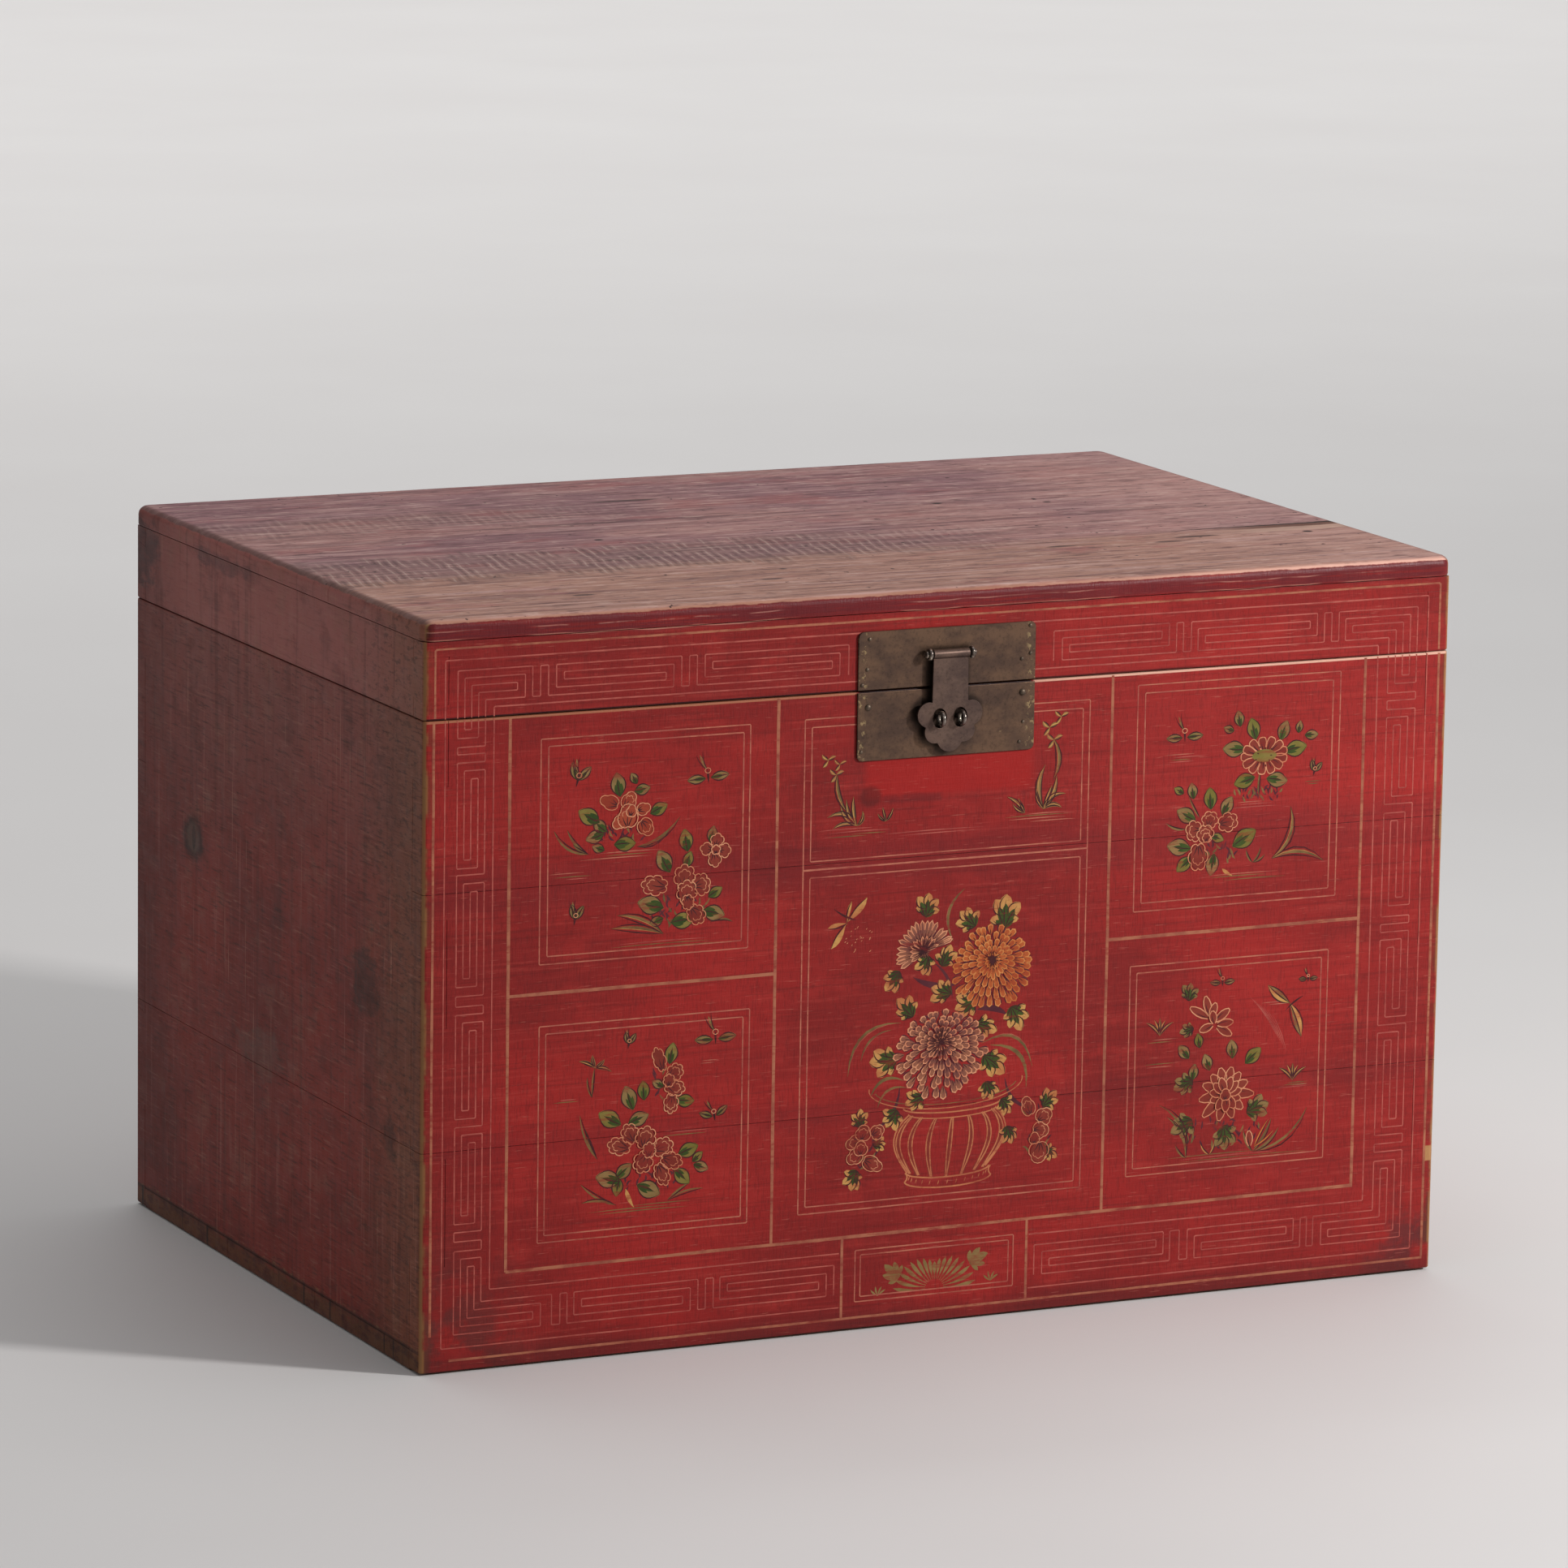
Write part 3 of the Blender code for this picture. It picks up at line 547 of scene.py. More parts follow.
            # the upright arrises of the front are worn to the wood
            aside = s.meet((s.put("Math", x, operation="ABSOLUTE"), 0.4370, 0.4386))
            arris = s.meet(aside, (y, FRONT_Y + 0.0036, FRONT_Y + 0.0012), 0.85)
            colour = s.layered(colour, (arris, "#946a44"))
        worn = s.put("Math", ragged, 0.30, rough, operation="MULTIPLY_ADD")
        bump = s.put("Bump", named={"Strength": 0.28, "Distance": 0.0006, "Height": height})
        return {
            "Base Color": colour,
            "Roughness": s.put("Math", worn, 0.15, operation="SUBTRACT"),
            "Normal": bump,
            "IOR": 1.5,
            "Specular IOR Level": 0.16,
        }


@dataclass(frozen=True)
class FolkPaint(Finish):
    """Matt pigment in oil, brushed over the lacquer and rubbed through in places."""

    colour: str = "#b98f5f"
    second: str = "#a67a4c"
    wear: float = 0.3

    def shade(self, s: Shader) -> dict[str, Any]:
        """Mixes two tones of the paint and lets the lacquer through where it is worn.

        Args:
            s: the shader.

        Returns:
            The main shader's inputs by name.
        """
        tone = s.mottle((18, 18, 18), 4, 0.6)
        rubbed = s.mottle((26, 26, 5), 5, 0.72)
        level = 0.70 - 0.30 * self.wear
        colour = s.layered(
            self.colour,
            ((tone, 0.38, 0.64), self.second),
            ((rubbed, level - 0.12, level + 0.04), 0.60, "#7f201d"),
        )
        rough = s.put("MapRange", tone, 0.3, 0.7, 0.48, 0.64)
        return {"Base Color": colour, "Roughness": rough, "IOR": 1.5, "Specular IOR Level": 0.14}


@dataclass(frozen=True)
class AgedBrass(Finish):
    """Brass sheet gone brown with age, yellow where fingers and nails rub it."""

    title: str = "aged_brown_brass"
    dark: str = "#4c3a31"
    light: str = "#69503f"
    bright: str = "#9c8560"
    rubbed: float = 0.10
    gloss: float = 0.44
    # strength of the hasp's painted shadow, a dark halo on the plates round it
    painted_hasp_shadow: float = 0.0

    def around_hasp(self, s: Shader, x: Any, z: Any) -> Any:
        """Finds the part of the plates under and just round the hasp, where its shadow is painted.

        Args:
            s: the shader.
            x: the first part of the coordinates.
            z: their third part.

        Returns:
            The mask.
        """
        neck, rim, pin_z = 0.0165, 0.0055, 0.533
        near = s.meet((x, LOCK_X - neck, LOCK_X + neck, rim), (z, HOLES_Z + 0.006, pin_z, rim))
        level = s.put("VectorMath", s.p, (1.0, 0.0, 1.0), operation="MULTIPLY")
        lobes = ((0.0180, 0.0030, 0.0098), (0.0125, -0.0105, 0.0090), (0.0, -0.0155, 0.0110))
        for aside, up, radius in lobes:
            for hand in (-1, 1) if aside else (1,):
                lobe = (LOCK_X + hand * aside, 0.0, HOLES_Z + up)
                far = s.put("VectorMath", level, lobe, operation="DISTANCE", out="Value")
                close = s.meet((far, radius + rim, radius + 0.001))
                near = s.put("Math", near, close, operation="MAXIMUM")
        return near

    def shade(self, s: Shader) -> dict[str, Any]:
        """Mixes the brown skin with rubbed metal.

        Args:
            s: the shader.

        Returns:
            The main shader's inputs by name.
        """
        cloud = s.mottle((34, 34, 22), 5, 0.6)
        # the grit of the skin is finer than this, which is as coarse as it needs to be to show
        grit = s.mottle((2.2, 2.2, 2.2), 4, 0.65)
        rub = s.mottle((9, 9, 9), 5, 0.7)
        level = 0.76 - 0.30 * self.rubbed
        worn = s.meet((rub, level - 0.05, level + 0.05))
        # the lock plates are chipped along their ends
        x, _, z = s.put("SeparateXYZ", s.p).node.outputs
        aside = s.put("Math", x, 1 / PLATE_HALF, -LOCK_X / PLATE_HALF, operation="MULTIPLY_ADD")
        across = s.put("Math", aside, operation="ABSOLUTE")
        flakes = s.meet((s.mottle((4.5, 4.5, 4.5), 4, 0.7), 0.56, 0.62))
        chipped = s.meet((across, 0.94, 1.03, 0.06), flakes)
        layers = [
            ((cloud, 0.34, 0.66), self.light),
            ((grit, 0.50, 0.36), 0.32, "#2b231d"),
            (chipped, 0.8, self.bright),
            (worn, self.bright),
        ]
        # painted shadow: a dark halo on the plates under and round the hasp
        if self.painted_hasp_shadow:
            layers.append((s.meet(self.around_hasp(s, x, z), self.painted_hasp_shadow), "#1e1713"))
        colour = s.layered(self.dark, *layers)
        rough = s.put("MapRange", cloud, 0.3, 0.7, self.gloss + 0.10, self.gloss - 0.06)
        bump = s.put("Bump", named={"Strength": 0.20, "Distance": 0.0004, "Height": cloud})
        return {"Base Color": colour, "Metallic": 0.85, "Roughness": rough, "Normal": bump}


@dataclass(frozen=True)
class StudioFloor(Finish):
    """A pale painted floor, matt and faintly clouded."""

    title: str = "pale_studio_floor"

    def shade(self, s: Shader) -> dict[str, Any]:
        """Mixes two near greys over wide clouds.

        Args:
            s: the shader.

        Returns:
            The main shader's inputs by name.
        """
        cloud = s.mottle((600, 600, 600), 3)
        colour = s.layered("#d3cfcd", (cloud, "#dad7d5"))
        return {"Base Color": colour, "Roughness": 0.6}


# Modelling helpers


def only(*pieces: Piece) -> None:
    """Makes objects the only selected ones, and the first of them active.

    Args:
        pieces: the objects.
    """
    bpy.ops.object.select_all(action="DESELECT")
    for piece in pieces:
        piece.select_set(True)
    bpy.context.view_layer.objects.active = pieces[0]


def editing(on: bool) -> None:
    """Goes into edit mode, or back to object mode."""
    bpy.ops.object.mode_set(mode="EDIT" if on else "OBJECT")


def joined(parts: Sequence[Piece], name: str) -> Piece:
    """Joins objects into one piece.

    Args:
        parts: the objects, which are used up.
        name: the piece's name.

    Returns:
        The piece.
    """
    only(*parts)
    if len(parts) > 1:
        bpy.ops.object.join()
    parts[0].name = name
    return parts[0]


def dress(piece: Piece, finish: Finish) -> None:
    """Gives a piece one finish all over."""
    piece.data.materials.clear()
    piece.data.materials.append(finish.material())


def outside(place: Vector) -> set[str]:
    """Names the outer planes of the chest that a point lies on.

    Args:
        place: the point.

    Returns:
        The planes' names; the lid's planes stand a little proud of the case's and count as the same ones.
    """
    near, between = 0.0008, 0.0005
    planes = {
        "side": abs(abs(place.x) - HALF_WIDTH - between) < near,
        "depth": abs(abs(place.y) + FRONT_Y - between) < near,
        "top": abs(place.z - TOP_Z) < near,
    }
    return {name for name, on in planes.items() if on}


def round_corners(piece: Piece, radius: float) -> None:
    """Rounds the edges of a board that are outer corners of the chest.

    Args:
        piece: the board, the active object in object mode.
        radius: how far they are rounded.
    """
    mesh = piece.data
    editing(True)
    bpy.ops.mesh.select_mode(type="EDGE")
    bpy.ops.mesh.select_all(action="DESELECT")
    editing(False)
    for edge in mesh.edges:
        a, b = (outside(mesh.vertices[i].co) for i in edge.vertices)
        edge.select = len(a & b) > 1
    editing(True)
    bpy.ops.mesh.bevel(offset=radius, segments=4, affect="EDGES", clamp_overlap=True)
    editing(False)


def fill_joints(piece: Piece, room: float) -> None:
    """Moves the sloping flanks of a board's dovetails out, as glue and lacquer fill the joints.

    Args:
        piece: the board, the active object in object mode.
        room: how far they move.
    """
    mesh = piece.data
    steep, level, corner_y = 0.90, 0.995, 0.27
    for index in [face.index for face in mesh.polygons if steep < abs(face.normal.z) < level]:
        editing(True)
        bpy.ops.mesh.select_mode(type="FACE")
        bpy.ops.mesh.select_all(action="DESELECT")
        editing(False)
        flank = mesh.polygons[index]
        flank.select = abs(flank.center.y) > corner_y
        way = flank.normal * room
        editing(True)
        bpy.ops.transform.translate(value=way)
        editing(False)


def refine(node: str, worn: float, outer: float = 0.0, swell: float = 0.0) -> Piece:
    """Copies a CAD node, merges its triangles and breaks its sharp edges.

    Args:
        node: the CAD node's name.
        worn: how far each sharp edge is rounded.
        outer: how far the chest's own corners are rounded, if the node has any.
        swell: how far the flanks of its dovetails move out, if it has any.

    Returns:
        The new piece.
    """
    same, flat = 0.000005, math.radians(0.6)
    sharp, smooth = math.radians(48), math.radians(40)
    piece = bpy.data.objects.new("worn_" + node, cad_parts[node].data.copy())
    bpy.context.scene.collection.objects.link(piece)
    piece.data.materials.clear()
    only(piece)
    editing(True)
    bpy.ops.mesh.select_all(action="SELECT")
    bpy.ops.mesh.customdata_custom_splitnormals_clear()
    bpy.ops.mesh.remove_doubles(threshold=same)
    bpy.ops.mesh.dissolve_limited(angle_limit=flat)
    editing(False)
    if swell:
        fill_joints(piece, swell)
    if outer:
        round_corners(piece, outer)
    editing(True)
    bpy.ops.mesh.select_all(action="DESELECT")
    bpy.ops.mesh.edges_select_sharp(sharpness=sharp)
    bpy.ops.mesh.bevel(offset=worn, segments=2, affect="EDGES", clamp_overlap=True)
    editing(False)
    bpy.ops.object.shade_smooth_by_angle(angle=smooth)
    bpy.ops.object.modifier_add(type="WEIGHTED_NORMAL")
    piece.modifiers[-1].keep_sharp = True
    bpy.ops.object.modifier_apply(modifier=piece.modifiers[-1].name)
    return piece


def dome_nail(name: str, radius: float, height: float) -> Piece:
    """Models a round-headed nail at the origin, its head towards -Y.

    Args:
        name: the piece's name.
        radius: the head's radius.
        height: how far the head stands out.

    Returns:
        The nail's head with a short shank.
    """
    bpy.ops.object.select_all(action="DESELECT")
    upright = (math.pi / 2, 0, 0)
    bpy.ops.mesh.primitive_circle_add(vertices=14, radius=radius, fill_type="NGON", rotation=upright)
    nail = bpy.context.active_object
    nail.name = name
    bpy.ops.object.transform_apply(location=True, rotation=True, scale=True)
    editing(True)
    bpy.ops.mesh.select_all(action="SELECT")
    inner = 1.0
    rise = 0.0
    for share in (0.30, 0.58, 0.80, 0.94):
        up = height * math.sin(share * math.pi / 2)
        wide = math.cos(share * math.pi / 2) ** 0.8
        bpy.ops.mesh.extrude_region_move(TRANSFORM_OT_translate={"value": (0, rise - up, 0)})
        bpy.ops.transform.resize(value=(wide / inner, 1, wide / inner), center_override=(0, 0, 0))
        inner = wide
        rise = up
    bpy.ops.mesh.select_all(action="SELECT")
    bpy.ops.mesh.normals_make_consistent(inside=False)
    editing(False)
    bpy.ops.object.shade_smooth_by_angle(angle=math.radians(50))
    return nail


def copies_at(model: Piece, name: str, places: Iterable[Vector]) -> Piece:
    """Copies a small model to several places and joins the copies into one piece.

    Args:
        model: the model at the origin, which is used up.
        name: the piece's name.
        places: where the copies go.

    Returns:
        The joined piece, with its place in its mesh.
    """
    made = []
    for place in places:
        copy = bpy.data.objects.new(name, model.data.copy())
        copy.data.transform(Matrix.Translation(place))
        bpy.context.scene.collection.objects.link(copy)
        made.append(copy)
    bpy.data.objects.remove(model)
    return joined(made, name)


@dataclass
class Assembly:
    """A sub-assembly that keeps its finished pieces."""

    pieces: list[Piece] = field(default_factory=list, init=False)

    def keep(
        self, piece: Piece, body: Body, finish: Finish | None = None, slot: Slot | None = None,
        nodes: Row = (),
    ) -> None:
        """Dresses a piece and hands it to the frame.

        Args:
            piece: the finished mesh.
            body: the body that it rides on.
            finish: its finish, unless its mesh has its paints already.
            slot: not used.
            nodes: the CAD nodes that it stands for.
        """
        if finish:
            dress(piece, finish)
        if nodes:
            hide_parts(*nodes)
        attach(piece, body.value)
        self.pieces.append(piece)


# Boards


@dataclass
class CaseBoards(Assembly):
    """The planks of the case and the lid, each a worn copy of its CAD node."""

    arris: float = 0.0002
    corner: float = 0.0014
    top_edge: float = 0.0050
    joint: float = 0.00026

    def build(self) -> None:
        """Makes every board."""
        rows, deep = ("lower", "middle", "upper"), ("front", "middle", "rear")
        groups = {
            Slot.RED: [*(f"front_plank_{row}" for row in rows), "lid_front_rail"],
            Slot.DARK: [
                *(f"back_plank_{row}" for row in rows),
                *(f"{hand}_plank_{row}" for hand in ("left", "right") for row in ("lower", "upper")),
                *(f"lid_{wall}_rail" for wall in ("back", "left", "right")),
            ],
            Slot.FADED: [f"lid_plank_{row}" for row in deep],
            Slot.BARE: [*(f"bottom_plank_{row}" for row in deep), "lid_batten_left", "lid_batten_right"],
        }
        finishes = {
            Slot.RED: CaseLacquer("aged_red_lacquer_on_pine", ("side", "front")),
            Slot.DARK: CaseLacquer("thin_brown_red_lacquer_on_pine", ("back", "side", "front")),
            Slot.FADED: CaseLacquer("rubbed_lacquer_on_pine", ("back", "side", "front", "top")),
            Slot.BARE: CaseLacquer("bare_pine", ("side",)),
        }
        battens = CaseLacquer("bare_pine_across", ("side",), crossed=True)
        for slot, nodes in groups.items():
            outer = {Slot.FADED: self.top_edge, Slot.BARE: 0.0}.get(slot, self.corner)
            for node in nodes:
                body = Body.LID if node.startswith("lid") else Body.BASE
                tailed = slot is Slot.DARK and "back" not in node
                piece = refine(node, self.arris, outer, self.joint if tailed else 0.0)
                finish = battens if "batten" in node else finishes[slot]
                self.keep(piece, body, finish, slot, [node])


# Brass


@dataclass
class LockSet(Assembly):
    """The two lock plates, the hasp on its pin, the eyes and staples, and the nails."""

    arris: float = 0.0003
    plate_y: float = -0.30015
    # the plates carry the hasp's painted shadow
    skin: AgedBrass = AgedBrass("aged_brown_brass_plate", painted_hasp_shadow=0.70)
    handled: AgedBrass = AgedBrass("handled_brown_brass", "#4b3b36", "#685349", "#94806a", 0.16)
    rubbed: AgedBrass = AgedBrass("rubbed_brass_wire", "#4f443d", "#8d8078", "#c9bfae", 0.62, 0.26)
    studs: AgedBrass = AgedBrass("dull_brass_nail", "#40352d", "#6f5f50", "#8d7c62", 0.20, 0.50)

    def build(self) -> None:
        """Makes the plates, the moving hasp, its hangers and the nails."""
        sheet = {"lock_plate_lower": Body.BASE, "lock_plate_upper": Body.LID, "hasp": Body.HASP}
        for node, body in sheet.items():
            finish = self.handled if body is Body.HASP else self.skin
            self.keep(refine(node, self.arris), body, finish, Slot.BRASS, [node])
        wire = {"staple_left": Body.BASE, "staple_right": Body.BASE, "hasp_pin": Body.LID}
        wire |= {"hasp_eye_left": Body.LID, "hasp_eye_right": Body.LID}
        for node, body in wire.items():
            self.keep(refine(node, self.arris), body, self.rubbed, Slot.BRASS, [node])
        self.nails("lower_plate_nails", Body.BASE, 2.7, ((368.2, 492.0), (500.6, 495.8)))
        small = ((362.8, 457.6), (501.5, 472.5), (498.5, 457.0))
        self.nails("lower_plate_pins", Body.BASE, 1.5, small)
        corners = ((368.6, 545.0), (506.5, 547.8), (367.0, 521.5))
        corners += ((499.5, 522.0), (362.8, 509.6), (507.0, 526.0))
        self.nails("upper_plate_pins", Body.LID, 1.6, corners)

    def nails(self, name: str, body: Body, radius: float, spots: Sequence[Point]) -> None:
        """Sets a row of nails on a plate.

        Args:
            name: the piece's name.
            body: the body that the plate rides on.
            radius: the heads' radius in millimetres.
            spots: where they are on the front, in millimetres.
        """
        model = dome_nail(name + "_model", radius * MM, radius * 0.62 * MM)
        places = [Vector((a * MM - HALF_WIDTH, self.plate_y, b * MM)) for a, b in spots]
        self.keep(copies_at(model, name, places), body, self.studs, Slot.BRASS)


@dataclass
class BackHinges(Assembly):
    """The two leaf hinges at the back with their nails."""

    arris: float = 0.00025
    middle: float = 0.260
    reach: float = 0.026
    leaf_y: float = 0.30010
    head: float = 0.0032
    studs: AgedBrass = AgedBrass("rubbed_brass_stud", "#6a5a48", "#94826a", "#b7a684", 0.30, 0.36)
    skin: AgedBrass = field(default_factory=AgedBrass)

    def build(self) -> None:
        """Makes the leaves, pins and nails."""
        for hand in ("left", "right"):
            for part, body in (("lower_leaf", Body.BASE), ("upper_leaf", Body.LID), ("pin", Body.BASE)):
                node = f"hinge_{hand}_{part}"
                self.keep(refine(node, self.arris), body, self.skin, Slot.BRASS, [node])
            middle = self.middle if hand == "right" else -self.middle
            self.nails(f"hinge_{hand}_lower_nails", Body.BASE, middle, SEAM_Z - self.reach)
            self.nails(f"hinge_{hand}_upper_nails", Body.LID, middle, SEAM_Z + self.reach)

    def nails(self, name: str, body: Body, x: float, z: float) -> None:
        """Sets three nails on a leaf.

        Args:
            name: the piece's name.
            body: the body that the leaf rides on.
            x: the leaf's middle.
            z: the nails' height.
        """
        model = dome_nail(name + "_model", self.head, self.head * 0.5)
        model.data.transform(Matrix.Rotation(math.pi, 4, "Z"))
        row = ((-0.022, 0.004), (0, -0.008), (0.022, 0.004))
        places = [Vector((x + off, self.leaf_y, z + up)) for off, up in row]
        self.keep(copies_at(model, name, places), body, self.studs, Slot.BRASS)


# The painted front


@dataclass(frozen=True)
class Coat:
    """How one paint lies on the lacquer: its finish, its height and how flat its strokes dry."""

    finish: FolkPaint
    rise: float
    flat: float


class Paint(Enum):
    """The painter's paints; the heights are in millimetres over the lacquer."""

    TAN = Coat(FolkPaint("tan_line_paint", "#a2634a", "#8a4a3a", 0.30), 0.0, 0.08)
    ROSE = Coat(FolkPaint("rose_tan_line_paint", "#ae6752", "#984d42", 0.25), 0.0, 0.16)
    CLAY = Coat(FolkPaint("clay_line_paint", "#b5704a", "#a25a3e", 0.30), 0.0, 0.12)
    FRET = Coat(FolkPaint("faded_rose_fret_paint", "#a9564b", "#93423b", 0.25), 0.0, 0.16)
    PLUM = Coat(FolkPaint("dark_plum_wash", "#471d26", "#54262b", 0.15), 0.02, 0.006)
    OLIVE = Coat(FolkPaint("olive_leaf_paint", "#776038", "#866b42", 0.40), 0.04, 0.006)
    MOSS = Coat(FolkPaint("moss_leaf_paint", "#666028", "#796a34", 0.35), 0.04, 0.006)
    STRAW = Coat(FolkPaint("straw_leaf_paint", "#b98a4e", "#a9683e", 0.12), 0.04, 0.006)
    EARTH = Coat(FolkPaint("olive_brown_grass_paint", "#7a5f38", "#5d4a2c", 0.30), 0.05, 0.02)
    GREEN = Coat(FolkPaint("dark_green_leaf_paint", "#3b4a1d", "#2e3d18", 0.20), 0.09, 0.006)
    INK = Coat(FolkPaint("dark_plum_line_paint", "#34171a", "#441d1f", 0.25), 0.13, 0.05)
    ORANGE = Coat(FolkPaint("orange_petal_paint", "#a8552a", "#943f22", 0.10), 0.16, 0.006)
    MAUVE = Coat(FolkPaint("mauve_petal_paint", "#8a553f", "#6c3d36", 0.12), 0.16, 0.006)
    BLUSH = Coat(FolkPaint("thin_red_petal_wash", "#7e3226", "#70271e", 0.30), 0.18, 0.003)
    FLAME = Coat(FolkPaint("thin_orange_petal_wash", "#96402a", "#84301f", 0.25), 0.18, 0.003)
    PETAL = Coat(FolkPaint("pink_petal_line_paint", "#cc8b68", "#bb6f50", 0.15), 0.22, 0.05)
    RUST = Coat(FolkPaint("orange_line_paint", "#c27c46", "#b0602f", 0.15), 0.22, 0.05)


def heading(turn: float) -> Point:
    """Gives the unit direction of a turn in degrees from the right, anticlockwise."""
    return (math.cos(math.radians(turn)), math.sin(math.radians(turn)))


def onward(start: Point, turn: float, length: float) -> Point:
    """Gives the point that lies a length away in a direction."""
    way = heading(turn)
    return (start[0] + way[0] * length, start[1] + way[1] * length)


def bowed(start: Point, end: Point, bow: float, count: int = 6) -> Track:
    """Gives points on a curve between two points.

    Args:
        start: the first point.
        end: the last point.
        bow: how far the middle leans to the left, as a share of the length.
        count: the number of points.

    Returns:
        The points.
    """
    along = (end[0] - start[0], end[1] - start[1])
    track = []
    for i in range(count):
        u = i / (count - 1)
        lean = 4 * u * (1 - u) * bow
        track.append((start[0] + along[0] * u - along[1] * lean, start[1] + along[1] * u + along[0] * lean))
    return track


def oval(centre: Point, rx: float, rz: float, start: float, end: float, count: int) -> Track:
    """Gives points on part of an ellipse.

    Args:
        centre: its centre.
        rx: its half width.
        rz: its half height.
        start: the first angle in degrees.
        end: the last angle in degrees.
        count: the number of points.

    Returns:
        The points.
    """
    turns = [start + (end - start) * i / (count - 1) for i in range(count)]
    return [(centre[0] + rx * heading(t)[0], centre[1] + rz * heading(t)[1]) for t in turns]


def scalloped(petal: Row, sweep: float, size: float, scallops: int, count: int) -> Track:
    """Gives points on a scalloped line round a petal.

    Args:
        petal: its middle, its half length, its half width and where its tip points.
        sweep: how far round the line goes in degrees, half of it to each side of the tip.
        size: its size as a share of the petal's.
        scallops: how many it has.
        count: its number of steps.

    Returns:
        The points.
    """
    x, z, long, short, turn = petal
    along, left = heading(turn), heading(turn + 90)
    track = []
    for i in range(count + 1):
        way = heading(sweep * (i / count - 0.5))
        frill = size * (0.87 + 0.22 * abs(math.sin(math.pi * scallops * i / count)) ** 0.6)
        a, b = long * frill * way[0], short * frill * way[1]
        track.append((x + along[0] * a + left[0] * b, z + along[1] * a + left[1] * b))
    return track


class Leg(Enum):
    """The four legs of the fret border: outer line, spacing of its lines and whether it runs along x."""

    BOTTOM = (30.0, 6.0, True)
    LEFT = (27.6, 5.65, False)
    RIGHT = (851.0, -6.4, False)
    TOP = (541.5, -5.8, True)

    def level(self, step: float) -> float:
        """Gives the place across the leg of a line so many steps in from the outer one."""
        return self.value[0] + self.value[1] * step


@dataclass
class Fret:
    """One half of the key-fret border, drawn as one line from the cartouche round to the lock.

    A run lists stations along a leg: B is a bar right across, E and X are where a spiral is
    entered and left.
    """

    runs: Sequence[tuple[Leg, str, Sequence[float]]]
    pitch: float = 6.4

    def stations(self) -> list[tuple[Leg, str, float, float]]:
        """Lists the stations one after another.

        Returns:
            Each one's leg, kind, place and running direction.
        """
        listed = []
        for leg, kinds, places in self.runs:
            way = 1.0 if places[-1] > places[0] else -1.0
            listed += [(leg, kind, place, way) for kind, place in zip(kinds, places)]
        return listed

    def nodes(self) -> list[tuple[Leg, float, int]]:
        """Walks the stations and lists the corners of the line.

        Returns:
            Each corner's leg, its place along it and its level across it.
        """
        walked = []
        level, last = 0, 4
        entry = None
        for leg, kind, place, way in self.stations():
            if kind == "B":
                walked += [(leg, place, level), (leg, place, last - level)]
                level = last - level
            elif kind == "E":
                entry = (leg, place, place + way * self.pitch)
            else:
                first, far, near = entry
                back = place - way * self.pitch
                walked += [(leg, place, last), (leg, place, 1), (first, near, 1), (first, near, 2)]
                walked += [(leg, back, 2), (leg, back, 3), (first, far, 3), (first, far, 0)]
                level = 0
        return walked

    def track(self) -> Track:
        """Turns the nodes into points on the front, with one more where the line goes round a corner.

        Returns:
            The points.
        """
        points = []
        before = None
        for leg, place, level in self.nodes():
            across = leg.level(level)
            if before and before[0] is not leg:
                old = before[0].level(level)
                points.append((across, old) if before[0].value[2] else (old, across))
            points.append((place, across) if leg.value[2] else (across, place))
            before = (leg, level)
        return points


